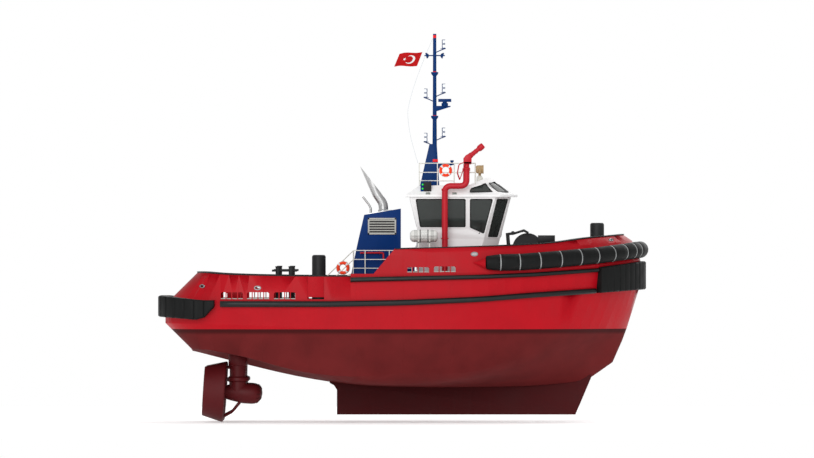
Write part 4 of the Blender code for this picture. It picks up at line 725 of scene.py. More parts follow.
def through(rows: Sequence[Sequence[Point]], steps: int, round_end: bool = False) -> list[list[Vector]]:
    """Rows of points on smooth curves through the given rows.

    Args:
        rows: Rows of the same length, from one end to the other.
        steps: Steps in each stretch between two rows.
        round_end: The curves cross the centreline square at the last row.

    Returns:
        The rows with those between them.
    """
    points = [[Vector(point) for point in row] for row in rows]
    count = len(points)
    if round_end:
        points.append([Vector((p.x, -p.y, p.z)) for p in points[-2]])
    spans = [(b[0] - a[0]).length for a, b in zip(points, points[1:])]

    def slope(i: int, k: int) -> Vector:
        """The curve's direction at a row."""
        if i == 0:
            return (points[1][k] - points[0][k]) / spans[0]
        before = (points[i][k] - points[i - 1][k]) / spans[i - 1]
        if i == len(points) - 1:
            return before
        after = (points[i + 1][k] - points[i][k]) / spans[i]
        return (before * spans[i] + after * spans[i - 1]) / (spans[i] + spans[i - 1])

    result = []
    for i in range(count - 1):
        for step in range(steps):
            t = step / steps
            row = []
            for k in range(len(points[i])):
                leave, arrive = slope(i, k) * spans[i], slope(i + 1, k) * spans[i]
                row.append(points[i][k] * (2 * t**3 - 3 * t**2 + 1) + leave * (t**3 - 2 * t**2 + t)
                           + points[i + 1][k] * (3 * t**2 - 2 * t**3) + arrive * (t**3 - t**2))
            result.append(row)
    result.append(points[count - 1])
    return result


def plan_normals(path: Sequence[Vector]) -> list[Vector]:
    """Level normals of a line along the ship, pointing outboard."""
    normals = []
    for i in range(len(path)):
        along = path[min(i + 1, len(path) - 1)] - path[max(i - 1, 0)]
        normal = Vector((along.y, -along.x, 0)).normalized()
        if normal.dot(Vector((path[i].x * 0.25, path[i].y, 0))) < 0:
            normal = -normal
        normals.append(normal)
    return normals


def to_side(points: Iterable[Point], sign: int) -> list[Vector]:
    """Port points as they are, or mirrored to starboard."""
    return [Vector((p[0], p[1] * sign, p[2])) for p in points]


def along_table(table: Sequence[tuple[float, float]], x: float) -> float:
    """The value at x of a table of (x, value) rows."""
    for (x0, v0), (x1, v1) in zip(table, table[1:]):
        if x <= x1:
            return v0 + (v1 - v0) * max(x - x0, 0) / (x1 - x0)
    return table[-1][1]


def sweep(path: Sequence[Vector], profile: Callable[[int], Sequence[tuple[float, float]]]) -> BMesh:
    """A body along a line on the ship's side.

    Args:
        path: The line.
        profile: The (outboard, up) outline at each point, by its number.

    Returns:
        The closed body.
    """
    rings = [[point + normal * out + UP * up for out, up in profile(i)]
             for i, (point, normal) in enumerate(zip(path, plan_normals(path)))]
    return bridge(rings)


# Pieces

@dataclass
class Assembly:
    """A group of pieces that one class builds and dresses."""

    body: str = "ship"

    def place(self, name: str, bm: BMesh, finish: Finish, slot: Slot, body: str = "",
              replaces: Sequence[str] = (), angle: float = 35.0) -> Any:
        """Make a shape an object, dress it and let it ride on its body.

        Args:
            name: The piece's name.
            bm: Its shape, which is used up.
            finish: Its finish.
            slot: Not used.
            body: The body it rides on, if not the assembly's own.
            replaces: Frame nodes that it stands for.
            angle: Edges that turn by more than this stay crisp, in degrees.

        Returns:
            The object.
        """
        mesh = bpy.data.meshes.new(name)
        bm.to_mesh(mesh)
        bm.free()
        mesh.shade_smooth()
        mesh.set_sharp_from_angle(angle=math.radians(angle))
        obj = bpy.data.objects.new(name, mesh)
        bpy.context.scene.collection.objects.link(obj)
        mesh.materials.append(finish.material())
        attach(obj, body or self.body)
        if replaces:
            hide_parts(*replaces)
        log.info("%s: %d faces on %s", name, len(mesh.polygons), body or self.body)
        return obj

    def stand_in(self, node: str, bm: BMesh, finish: Finish, slot: Slot, body: str = "",
                 angle: float = 35.0) -> Any:
        """Place a finer shape for one frame node, with the arguments of place."""
        return self.place(node + "_fine", bm, finish, slot, body, (node,), angle)

    def refine(self, node: str, finish: Finish, slot: Slot, bevel: float = 0.008, angle: float = 30.0,
               body: str = "", smooth: float = 35.0) -> Any:
        """Stand a copy of a frame node, with rounded edges, in its place.

        Args:
            node: The frame node.
            finish: The copy's finish.
            slot: The record's slot.
            bevel: Width of its rounded edges.
            angle: Edges that turn by more than this are rounded, in degrees.
            body: The body it rides on, if not the assembly's own.
            smooth: Edges that turn by more than this stay crisp, in degrees.

        Returns:
            The object.
        """
        bm = cad_copy(node)
        if bevel:
            soften(bm, bevel, angle)
        return self.place(node + "_shell", bm, finish, slot, body, (node,), smooth)


# Studio

@dataclass
class Studio:
    """Camera, lights, sky and floor."""

    frame_width: float = 41.9
    look_at: Point = (0.206, 0.0, 5.122)
    distance: float = 700.0
    sensor: float = 36.0
    floor_height: float = -4.80
    floor_radius: float = 60.0

    def build(self) -> None:
        """Set up the view and the light."""
        self.camera()
        self.sky()
        self.suns()
        self.floor()
        bpy.context.scene.view_settings.view_transform = "Standard"

    def camera(self) -> None:
        """A long lens square to the starboard side."""
        data = bpy.data.cameras.new("camera")
        data.sensor_width = self.sensor
        data.lens = self.sensor * self.distance / self.frame_width
        data.clip_end = 2 * self.distance
        obj = bpy.data.objects.new("camera", data)
        obj.location = Vector(self.look_at) - Vector((0, self.distance, 0))
        obj.rotation_euler = (math.pi / 2, 0, 0)
        bpy.context.scene.collection.objects.link(obj)
        bpy.context.scene.camera = obj

    def sky(self) -> None:
        """White behind the tug, and a dimmer white that lights it."""
        world = bpy.data.worlds.new("studio")
        bpy.context.scene.world = world
        world.use_nodes = True
        tree = world.node_tree
        background = tree.nodes["Background"]
        background.inputs["Color"].default_value = (1, 1, 1, 1)
        seen = add_node(tree, "LightPath").outputs["Is Camera Ray"]
        strength = add_node(tree, "MapRange", {0: seen, 3: 0.62, 4: 1.0})
        tree.links.new(strength.outputs[0], background.inputs["Strength"])

    def suns(self) -> None:
        """Two broad soft lights: the key from the camera's upper left, a weaker one from behind."""
        for name, direction, energy, spread in (
            ("key", (0.20, 0.94, -0.34), 1.45, 40.0),
            ("back", (-0.35, -0.85, -0.60), 1.10, 60.0),
        ):
            data = bpy.data.lights.new(name, "SUN")
            data.energy = energy
            data.angle = math.radians(spread)
            obj = bpy.data.objects.new(name, data)
            obj.rotation_euler = Vector(direction).to_track_quat("-Z", "Y").to_euler()
            bpy.context.scene.collection.objects.link(obj)

    def floor(self) -> None:
        """A pale disc just below the nozzles."""
        bm = bmesh.new()
        bmesh.ops.create_circle(bm, cap_ends=True, segments=96, radius=self.floor_radius,
                                matrix=Matrix.Translation((0, 0, self.floor_height)))
        mesh = bpy.data.meshes.new("floor")
        bm.to_mesh(mesh)
        bm.free()
        obj = bpy.data.objects.new("floor", mesh)
        bpy.context.scene.collection.objects.link(obj)
        recipe = Recipe("studio_floor")
        pale = recipe.group("mottle", 0.2, srgb(244, 244, 244), srgb(248, 248, 248))
        recipe.feed("Base Color", pale.outputs[0])
        recipe.fix(Roughness=0.9, Emission_Color=(1, 1, 1, 1), Emission_Strength=0.35)
        mesh.materials.append(recipe.material)


# Hull

# Fore body, as port points (x, y, z): edge of the forecastle deck, knuckle, top of the bulwark
BOW_SECTIONS = (
    ((-2.68, 5.60, 2.83), (-2.68, 5.55, 3.60), (-2.68, 5.50, 4.06)),
    ((0.50, 5.62, 2.83), (0.50, 5.55, 3.85), (0.50, 5.50, 4.16)),
    ((3.50, 5.60, 2.88), (3.50, 5.49, 3.95), (3.50, 5.43, 4.25)),
    ((6.05, 5.32, 3.00), (5.95, 5.16, 4.05), (5.85, 5.06, 4.33)),
    ((8.10, 4.78, 3.13), (7.90, 4.56, 4.18), (7.75, 4.42, 4.46)),
    ((9.95, 3.80, 3.28), (9.60, 3.56, 4.33), (9.35, 3.38, 4.68)),
    ((11.35, 2.42, 3.42), (10.95, 2.22, 4.44), (10.55, 2.06, 4.79)),
    ((12.05, 1.15, 3.50), (11.60, 1.06, 4.50), (11.17, 0.98, 4.85)),
    ((12.22, 0, 3.52), (11.79, 0, 4.52), (11.35, 0, 4.87)),
)
# Aft bulwark, as port points: foot, top
AFT_BULWARK = (
    ((-11.944, 3.20, 1.4903), (-10.53, 2.75, 2.94)),
    ((-11.73, 4.03, 1.4903), (-10.42, 3.45, 2.935)),
    ((-11.13, 4.72, 1.4903), (-10.10, 4.18, 2.92)),
    ((-9.93, 5.20, 1.4903), (-9.35, 4.86, 2.86)),
    ((-8.00, 5.49, 1.4903), (-7.85, 5.30, 2.80)),
    ((-5.50, 5.605, 1.4903), (-5.50, 5.455, 2.755)),
    ((-3.71, 5.61, 1.4903), (-3.71, 5.46, 2.74)),
)
AFT_END = ((-2.68, 5.61, 1.4903), (-2.68, 5.60, 2.74))
GATE_SPAN = (-4.88, -4.03)


@dataclass
class Hull(Assembly):
    """Hull, forecastle, skeg and the decks' finish."""

    deck_slope: float = 0.9
    deck_floor: float = 1.3

    def build(self) -> None:
        """Refine the plated bodies."""
        for node in ("hull", "forecastle"):
            shell = self.refine(node, RED, Slot.HULL, 0.0, smooth=24.0)
            self.paint_deck(shell)
        # The skeg takes the darker copy of the antifouling, which is painted shade.
        self.refine("skeg", SHADED_ANTIFOULING, Slot.BOTTOM, 0.02, smooth=24.0)

    def paint_deck(self, shell: Any) -> None:
        """Give the level faces above the waterline their non-skid paint."""
        shell.data.materials.append(DECK.material())
        for face in shell.data.polygons:
            if face.normal.z > self.deck_slope and face.center.z > self.deck_floor:
                face.material_index = 1


@dataclass
class Bulwarks(Assembly):
    """Plating above the decks, with cap rails, stays, chock rims and sill bars."""

    cap: tuple[tuple[float, float], ...] = ((-0.148, -0.052), (0.026, -0.052), (0.032, -0.03),
                                            (0.026, 0.003), (-0.148, 0.003), (-0.154, -0.03))
    chock: tuple[float, float] = (0.15, 0.08)
    chocks: tuple[tuple[float, float], ...] = ((-10.28, 2.20), (-7.43, 2.11), (3.65, 3.84), (10.68, 4.56))
    ports: tuple[Point, ...] = ((-9.31, -8.18, 1.56), (-7.97, -6.84, 1.56), (-6.59, -5.49, 1.56),
                                (0.22, 1.33, 2.93), (1.58, 2.69, 2.95))
    cap_start: float = -0.40
    stay_pitch: float = 1.22
    trees: list[BVHTree] = field(default_factory=list)

    def build(self) -> None:
        """Refine each plating and add what is fixed to it."""
        for node in ("bulwark_stern", "bulwark_bow"):
            self.refine(node, BULWARK_RED, Slot.HULL, 0.0, smooth=28.0)
        for side, sign in SIDES.items():
            self.refine("bulwark_aft_" + side, BULWARK_RED, Slot.HULL, 0.0, smooth=28.0)
            self.refine("bulwark_fore_" + side, BULWARK_RED, Slot.HULL, 0.0, smooth=28.0)
            self.refine("gate_" + side, BULWARK_RED, Slot.HULL, 0.004, body=side + "_gate")
        self.caps()
        self.place("chock_rims", self.chock_rims(), GALVANISED, Slot.HULL)
        self.place("freeing_port_sills", self.sills(), LOUVRE_GREY, Slot.HULL)
        self.place("bulwark_stays", self.stays(), BULWARK_RED, Slot.HULL)

    def lines(self) -> tuple[list, list]:
        """Fine lines of the aft and the fore bulwark, as port rows."""
        aft = through(AFT_BULWARK, 6)
        aft.append([Vector(p) for p in AFT_END])
        fore = through(BOW_SECTIONS, 6, round_end=True)
        return aft, fore

    def strip(self, name: str, rows: Sequence, top: int, body: str = "") -> None:
        """One cap rail along the tops of the rows."""
        path = [row[top] for row in rows]
        self.place(name, sweep(path, lambda i: self.cap), CAP_BLACK, Slot.RUBBER, body)

    def caps(self) -> None:
        """Black cap rails on every bulwark and gate."""
        aft, fore = self.lines()
        stern = [row for row in aft if row[1].x < GATE_SPAN[0] - 0.1]
        stern.append([Vector((GATE_SPAN[0], 5.607, 1.49)), Vector((GATE_SPAN[0], 5.456, 2.75))])
        around = [to_side(row, -1) for row in reversed(stern)] + [to_side(row, 1) for row in stern]
        self.strip("cap_rail_stern", around, 1)
        for side, sign in SIDES.items():
            short = [[Vector((x, sign * y, z)) for x, y, z in row] for row in (
                ((GATE_SPAN[1], 5.61, 1.49), (GATE_SPAN[1], 5.458, 2.742)),
                ((-3.71, 5.61, 1.49), (-3.71, 5.46, 2.74)), AFT_END)]
            self.strip("cap_rail_step_" + side, short, 1)
            gate = [[Vector((x, sign * 5.607, 1.64)), Vector((x, sign * 5.458, 2.745))]
                    for x in (GATE_SPAN[0] + 0.008, GATE_SPAN[1] - 0.008)]
            self.strip("cap_rail_gate_" + side, gate, 1, side + "_gate")
        bow = [row for row in fore if row[2].x > self.cap_start]
        scale = (bow[0][2].x - self.cap_start) / (bow[1][2].x - bow[0][2].x)
        head = [p - (q - p) * scale for p, q in zip(bow[0], bow[1])]
        bow = [head] + bow
        around = [to_side(row, -1) for row in bow] + [to_side(row, 1) for row in reversed(bow[:-1])]
        self.strip("cap_rail_bow", around, 2)

    def wall_point(self, x: float, z: float, sign: int) -> tuple[Vector, Vector]:
        """A point on a bulwark's outer face and the way out of it."""
        if not self.trees:
            for name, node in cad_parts.items():
                if name.startswith("bulwark_"):
                    faces = [face.vertices[:] for face in node.data.polygons]
                    self.trees.append(BVHTree.FromPolygons([vert.co for vert in node.data.vertices], faces))
        hits = [tree.ray_cast(Vector((x, sign * 8.0, z)), Vector((0, -sign, 0))) for tree in self.trees]
        where, normal, _, _ = min((hit for hit in hits if hit[0] is not None), key=lambda hit: hit[3])
        return where, normal

    def chock_rims(self) -> BMesh:
        """Round bars that line each oval chock."""
        shapes = []
        for x, z in self.chocks:
            for sign in SIDES.values():
                edge, normal = self.wall_point(x, z + self.chock[1] + 0.03, sign)
                low, _ = self.wall_point(x, z - self.chock[1] - 0.03, sign)
                middle = (edge + low) / 2
                across = normal.cross(UP).normalized()
                up = (edge - low).normalized()
                line = [middle - normal * 0.01 + across * (math.cos(turn) * (self.chock[0] + 0.012))
                        + up * (math.sin(turn) * (self.chock[1] + 0.012)) for turn in turns(24)]
                shapes.append(pipe(line, 0.03, 10, False, True))
        return joined(shapes)

    def sills(self) -> BMesh:
        """Pale bars along the foot of each freeing port."""
        shapes = []
        for aft, fore, height in self.ports:
            for sign in SIDES.values():
                ends = []
                for x in (aft - 0.03, fore + 0.03):
                    where, _ = self.wall_point(x, height + 0.04, sign)
                    ends.append(Vector((x, where.y - sign * 0.03, height)))
                shapes.append(pipe(ends, 0.024, 12))
        return joined(shapes)

    def stays(self) -> BMesh:
        """Triangular brackets that stiffen the bulwarks inside."""
        aft, fore = self.lines()
        shapes = []
        for rows, top, reach in ((aft[4:], 1, 0.30), (fore, 2, 0.34)):
            path = [row[0] for row in rows]
            normals = plan_normals(path)
            travelled = 0.0
            for i in range(1, len(rows) - 1):
                travelled += (path[i] - path[i - 1]).length
                x = path[i].x
                at_gate = GATE_SPAN[0] - 0.3 < x < GATE_SPAN[1] + 0.3
                if travelled < self.stay_pitch or at_gate or -2.7 < x < 0.0:
                    continue
                travelled = 0.0
                foot = rows[i][0] - normals[i] * 0.05 + UP * 0.012
                head = rows[i][top] - normals[i] * 0.06 - UP * 0.07
                heel = foot - normals[i] * reach
                nose = head - normals[i] * 0.07
                along = Vector((-normals[i].y, normals[i].x, 0)) * 0.006
                for sign in SIDES.values():
                    corners = to_side((foot - along, heel - along, nose - along, head - along), sign)
                    shapes.append(prism(corners, to_side((along * 2,), sign)[0]))
        return joined(shapes)


@dataclass
class Fenders(Assembly):
    """Rubbing rails, stern fender, bow block, round bow fender and its fairings."""

    radius: float = 0.455
    start: float = 4.22
    offset: float = 0.215
    fullness: float = 0.94
    heights: tuple[tuple[float, float], ...] = ((4.22, 3.40), (6.0, 3.43), (8.06, 3.59), (9.95, 3.76),
                                                (11.2, 3.92), (12.3, 4.07))
    straps: tuple[float, ...] = (4.96, 5.93, 6.95, 8.00, 8.98, 9.83, 10.62, 11.22, 11.66, 11.92)
    strap_half: float = 0.026
    groove: tuple[float, float, float] = (0.045, 0.030, -0.014)
    sides: int = 32

    def build(self) -> None:
        """Refine the rails and blocks, and turn the round fender finer."""
        for side in SIDES:
            for level in ("lower", "upper"):
                self.refine(f"rub_rail_{level}_{side}", RAIL_RUBBER, Slot.RUBBER, 0.035, 18.0, smooth=62.0)
            self.refine("fender_fairing_" + side, BULWARK_RED, Slot.HULL, 0.05, 15.0, smooth=60.0)
        self.refine("stern_fender", RUBBER, Slot.RUBBER, 0.02, 40.0)
        self.refine("bow_fender_block", RUBBER, Slot.RUBBER, 0.015, 40.0)
        self.round_fender()

    def centreline(self) -> list[Vector]:
        """The round fender's middle from starboard to port, with its taper in reach."""
        port = []
        for row in through(BOW_SECTIONS, 5, round_end=True):
            if row[0].x < 3.4:
                continue
            height = along_table(self.heights, row[0].x)
            part = (height - row[0].z) / (row[1].z - row[0].z)
            port.append(row[0].lerp(row[1], part))
        for i in range(len(port) - 1):
            if port[i].x < self.start <= port[i + 1].x:
                cut = port[i].lerp(port[i + 1], (self.start - port[i].x) / (port[i + 1].x - port[i].x))
                port = [cut] + port[i + 1:]
                break
        wall = to_side(port, -1) + to_side(reversed(port[:-1]), 1)
        return [point + normal * self.offset for point, normal in zip(wall, plan_normals(wall))]

    def round_fender(self) -> None:
        """Rubber cylinder with grooves where steel straps hold it."""
        line = self.centreline()
        lengths = [0.0]
        for a, b in zip(line, line[1:]):
            lengths.append(lengths[-1] + (b - a).length)
        total = lengths[-1]

        def at(s: float) -> Vector:
            """The middle at a distance along the fender."""
            for i, (s0, s1) in enumerate(zip(lengths, lengths[1:])):
                if s <= s1:
                    return line[i].lerp(line[i + 1], (s - s0) / (s1 - s0))
            return line[-1]

        marks = []
        for x in self.straps:
            low, high = 0.0, total / 2
            for _ in range(30):
                middle = (low + high) / 2
                low, high = (middle, high) if at(middle).x < x else (low, middle)
            marks += [low, total - low]
        stops = {round(i * total / 90, 4): 0.0 for i in range(91)}
        for mark in marks:
            near = [s for s in stops if abs(s - mark) < 0.06]
            for s in near:
                del stops[s]
            lip, floor, dip = self.groove
            stops.update({mark - lip: 0.0, mark - floor: dip, mark + floor: dip, mark + lip: 0.0})
        ends = ((0.0, -0.06), (0.012, -0.03), (0.035, -0.008), (0.06, 0.0))
        for s, dip in ends:
            stops[s] = dip
            stops[total - s] = dip
        rings = []
        order = sorted(s for s in stops if 0 <= s <= total)
        for s in order:
            rings.append(self.section(at, s, total, self.size(min(s, total - s)) + stops[s]))
        bm = bridge(rings)
        self.place("bow_fender_cylinder_shell", bm, RUBBER, Slot.RUBBER,
                   replaces=("bow_fender_cylinder",), angle=50)
        bands = []
        low, high = -self.strap_half, self.strap_half
        for mark in marks:
            size = self.size(min(mark, total - mark)) - 0.004
            loops = [self.section(at, mark + shift, total, size + rise)
                     for shift, rise in ((low, -0.02), (low, 0.003), (high, 0.003), (high, -0.02))]
            bands.append(bridge(loops, ring=True))
        self.place("bow_fender_straps", joined(bands), STRAP, Slot.RUBBER, angle=30)

    def size(self, s: float) -> float:
        """The fender's radius at a distance from its end."""
        return self.radius * min(1.0, 0.80 + 0.27 * s) * self.fullness

    def section(self, at: Callable[[float], Vector], s: float, total: float, radius: float) -> list[Vector]:
        """A ring round the fender's middle."""
        middle = at(s)
        along = (at(min(s + 0.08, total)) - at(max(s - 0.08, 0.0))).normalized()
        out = along.cross(UP).normalized()
        rise = out.cross(along)
        return [middle + out * (radius * math.cos(t)) + rise * (radius * math.sin(t))
                for t in turns(self.sides)]


# House

SILL_HEIGHT = 5.09
EAVE_HEIGHT = 6.77
CORNER_WIDTH = 1.35


class Wall(Enum):
    """The house's walls, each with its own way across."""

    SIDE = "side"
    CORNER = "corner"
    FRONT = "front"
    AFT = "aft"


def house_ring(height: float, inset: float = 0.0) -> tuple[Vector, Vector, Vector]:
    """The house's port corners at a height, moved in by an inset: aft, shoulder, front."""
    lean = max(height - SILL_HEIGHT, 0) / (EAVE_HEIGHT - SILL_HEIGHT)
    rise = height - 2.83
    side = 2.15 + 0.35 * lean - inset
    return (Vector((0.74 - 0.41 * lean + inset, side, height)),
            Vector((3.68 + 0.268 * rise - 0.45 * inset, side, height)),
            Vector((4.52 + 0.259 * rise - inset, 1.15 + 0.077 * rise - 0.5 * inset, height)))


def on_wall(wall: Wall, across: float, height: float, inset: float, sign: int) -> Vector:
    """The point of a wall at a distance across it and a height, moved in by an inset."""
    aft, shoulder, front = house_ring(height, inset)
    point = {
        Wall.SIDE: Vector((across, shoulder.y, height)),
        Wall.CORNER: shoulder.lerp(front, across / CORNER_WIDTH),
        Wall.FRONT: Vector((front.x, across, height)),
        Wall.AFT: Vector((aft.x, across, height)),
    }[wall]
    return Vector((point.x, sign * point.y, height))


def shrink(outline: Sequence[Point], amount: float) -> list[Vector]:
    """A flat outline with its edges moved inwards, or outwards for a negative amount."""
    points = [Vector((point[0], point[1], 0)) for point in outline]
    area = sum(a.x * b.y - b.x * a.y for a, b in zip(points, points[1:] + points[:1]))
    turn = 1 if area > 0 else -1
    result = []
    for i, point in enumerate(points):
        before = (point - points[i - 1]).normalized()
        after = (points[(i + 1) % len(points)] - point).normalized()
        first = Vector((-before.y, before.x, 0)) * turn
        last = Vector((-after.y, after.x, 0)) * turn
        result.append(point + (first + last) * (amount / (1 + first.dot(last))))
    return result


@dataclass
class House(Assembly):
    """Deckhouse, wheelhouse, door, windows and the helm behind them."""

    frame_width: float = 0.05
    proud: float = 0.014
    seal: float = 0.055
    corner: float = 0.09
    side_windows: tuple = (((0.64, 6.67), (3.22, 6.67), (3.22, 5.21), (0.87, 5.21)),
                           ((3.43, 6.67), (4.63, 6.67), (4.16, 4.86), (3.43, 5.19)))
    corner_window: tuple = ((0.13, 6.67), (0.88, 6.67), (0.84, 4.70), (0.20, 4.70))
    front_window: tuple = ((0, 6.67), (1.08, 6.67), (1.04, 4.72), (0.04, 4.72))
    aft_window: tuple = ((0, 6.60), (1.70, 6.60), (1.60, 5.30), (0.10, 5.30))
    frames: list = field(default_factory=list)
    seals: list = field(default_factory=list)
    panes: list = field(default_factory=list)
    wipers: list = field(default_factory=list)

    def build(self) -> None:
        """Refine the walls, then glaze them."""
        self.refine("deckhouse", WHITE, Slot.HOUSE, 0.02, smooth=25.0)
        self.refine("wheelhouse", WHITE, Slot.HOUSE, 0.015, smooth=25.0)
        self.refine("wheelhouse_roof", WHITE, Slot.HOUSE, 0.02, 12.0, smooth=25.0)
        self.refine("deckhouse_door", WHITE, Slot.HOUSE, 0.006, body="door")
        for sign in SIDES.values():
            for outline in self.side_windows:
                self.window(outline, Wall.SIDE, sign)
            wide = [(across * CORNER_WIDTH, height) for across, height in self.corner_window]
            self.window(wide, Wall.CORNER, sign)
            self.skylight(((3.45, 7.03), (3.485, 7.22), (4.226, 7.454), (4.60, 7.047)), sign)
            self.skylight(((4.43, 7.47), (4.70, 7.56), (5.40, 7.02), (4.90, 7.02)), sign)
        for low in (-1.14, 0.06):
            self.window([(low + u, z) for u, z in self.front_window], Wall.FRONT, 1)
        for low in (-1.95, 0.25):
            self.window([(low + u, z) for u, z in self.aft_window], Wall.AFT, 1)
        self.place("window_frames", joined(self.frames), WHITE, Slot.HOUSE, angle=30)
        self.place("window_seals", joined(self.seals), SEAL, Slot.GLASS, angle=30)
        self.place("window_panes", joined(self.panes), PANE, Slot.GLASS, replaces=("wheelhouse_glazing",))
        self.place("window_wipers", joined(self.wipers), CAP_BLACK, Slot.GLASS)
        self.helm()
        self.door_gear()
        self.roof_gear()

    def window(self, outline: Sequence[Point], wall: Wall, sign: int) -> None:
        """A raised frame, a black seal and a tinted pane in one opening, with its wiper."""

        def loop(shift: float, radius: float, inset: float) -> list[Vector]:
            """The opening's outline moved in across the wall and through it."""
            line = rounded(shrink(outline, shift), radius, 6, True)
            return [on_wall(wall, p.x, p.y, inset, sign) for p in line]

        outer = self.corner + 0.02
        self.frames.append(bridge([loop(-self.frame_width, outer, 0.004),
                                   loop(-self.frame_width, outer, -0.010),
                                   loop(-self.frame_width + 0.006, outer, -self.proud),
                                   loop(-0.004, self.corner, -self.proud),
                                   loop(0.002, self.corner, -0.008), loop(0.002, self.corner, 0.06)],
                                  ring=True))
        self.seals.append(bridge([loop(0.0, self.corner, 0.012), loop(0.004, self.corner, 0.004),
                                  loop(self.seal - 0.01, self.corner, 0.006),
                                  loop(self.seal, self.corner, 0.02), loop(self.seal, self.corner, 0.05),
                                  loop(0.0, self.corner, 0.05)], ring=True))
        self.panes.append(bridge([loop(self.seal - 0.012, self.corner, 0.028),
                                  loop(self.seal - 0.012, self.corner, 0.040)]))
        if wall is Wall.AFT:
            return
        low = min(point[1] for point in outline)
        middle = sum(point[0] for point in outline) / len(outline)
        foot = on_wall(wall, middle, low + 0.03, -0.03, sign)
        tip = on_wall(wall, middle + 0.10, low + 0.62, 0.002, sign)
        heel = on_wall(wall, middle + 0.10, low + 0.20, 0.002, sign)
        self.wipers.append(rod(foot, tip.lerp(heel, 0.5), 0.008, 8))
        self.wipers.append(rod(heel, tip, 0.010, 8))
        self.wipers.append(rod(foot, on_wall(wall, middle, low + 0.03, 0.02, sign), 0.028, 12))

    def skylight(self, outline: Sequence[Point], sign: int) -> None:
        """A sealed pane in the roof's slope, lying on the roof around its opening."""
        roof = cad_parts["wheelhouse_roof"].data
        tree = BVHTree.FromPolygons([v.co for v in roof.vertices], [p.vertices[:] for p in roof.polygons])
        rows = []
        for point in rounded(shrink(outline, -0.03), 0.02, 4, True):
            where, _, _, _ = tree.ray_cast(Vector((point.x, sign * 3.2, point.y)), Vector((0, -sign, 0)))
            if where is not None:
                rows.append((1.0, point.x, point.y, sign * where.y))
        table = np.array(rows)
        base, per_x, per_z = np.linalg.lstsq(table[:, :3], table[:, 3], rcond=None)[0]

        def loop(shift: float, sunk: float) -> list[Vector]:
            """The opening's outline on the slope, moved across it and into it."""
            line = rounded(shrink(outline, shift), 0.045, 5, True)
            return [Vector((p.x, sign * (base + per_x * p.x + per_z * p.y - sunk), p.y)) for p in line]

        self.seals.append(bridge([loop(-0.03, 0.03), loop(-0.028, -0.028), loop(0.03, -0.028),
                                  loop(0.034, 0.05)], ring=True))
        self.panes.append(bridge([loop(0.02, 0.0), loop(0.02, 0.014)]))

    def helm(self) -> None:
        """Console and two chairs, which show faintly through the panes."""
        console = ((3.35, 4.63), (4.45, 4.63), (4.62, 5.50), (3.60, 5.62), (3.42, 5.40))
        back = ((2.50, 5.10), (2.62, 5.10), (2.52, 5.85), (2.40, 5.85))
        shapes = [slab(console, -1.15, 1.15, bevel=0.03)]
        for y in (-0.75, 0.75):
            shapes.append(rod((2.80, y, 4.63), (2.80, y, 5.05), 0.07))
            shapes.append(block((2.55, y - 0.26, 5.03), (3.08, y + 0.26, 5.16), 0.05))
            shapes.append(slab(back, y - 0.25, y + 0.25, bevel=0.04))
        self.place("helm_and_chairs", joined(shapes), INSIDE, Slot.HOUSE)

    def door_gear(self) -> None:
        """Three clips on the deckhouse door."""
        shapes = []
        for height in (3.35, 3.78, 4.20):
            shapes.append(rod((0.735, -0.27, height), (0.700, -0.27, height), 0.022))
            shapes.append(rod((0.708, -0.27, height), (0.708, -0.16, height + 0.02), 0.012, 10))
        self.place("door_clips", joined(shapes), GALVANISED, Slot.HOUSE, "door")

    def roof_gear(self) -> None:
        """Side-light screens with their lamps, and the lamps at the eaves."""
        screens, boards, lamps = [], [], []
        for sign in SIDES.values():
            screens.append(block((1.06, sign * 1.565, 7.05), (1.455, sign * 2.44, 7.53), 0.012))
            boards.append(block((0.90, sign * 2.10, 7.05), (1.07, sign * 2.42, 7.52), 0.008))
            glows = []
            for height in (7.19, 7.40):
                glows.append(lathe(((0.05, 0.0), (0.05, 0.05), (0.035, 0.075), (0.0, 0.082)),
                                   (1.01, sign * 2.415, height), (0, sign, 0), 20))
            self.place(f"side_lights_{'green' if sign < 0 else 'red'}", joined(glows),
                       GREEN_LENS if sign < 0 else RED_LENS, Slot.GLASS)
            for x in (1.285, 2.64):
                lamps.append(block((x - 0.11, sign * 2.44, 6.885), (x + 0.11, sign * 2.585, 7.005), 0.02))
                lamps.append(rod((x, sign * 2.515, 6.88), (x, sign * 2.515, 6.91), 0.07))
        self.place("side_light_screens", joined(screens), BOX_BLACK, Slot.HOUSE)
        self.place("side_light_boards", joined(boards), BLUE, Slot.CASING)
        self.place("eave_lamps", joined(lamps), LAMP_GREY, Slot.HOUSE)


# Casings and exhausts

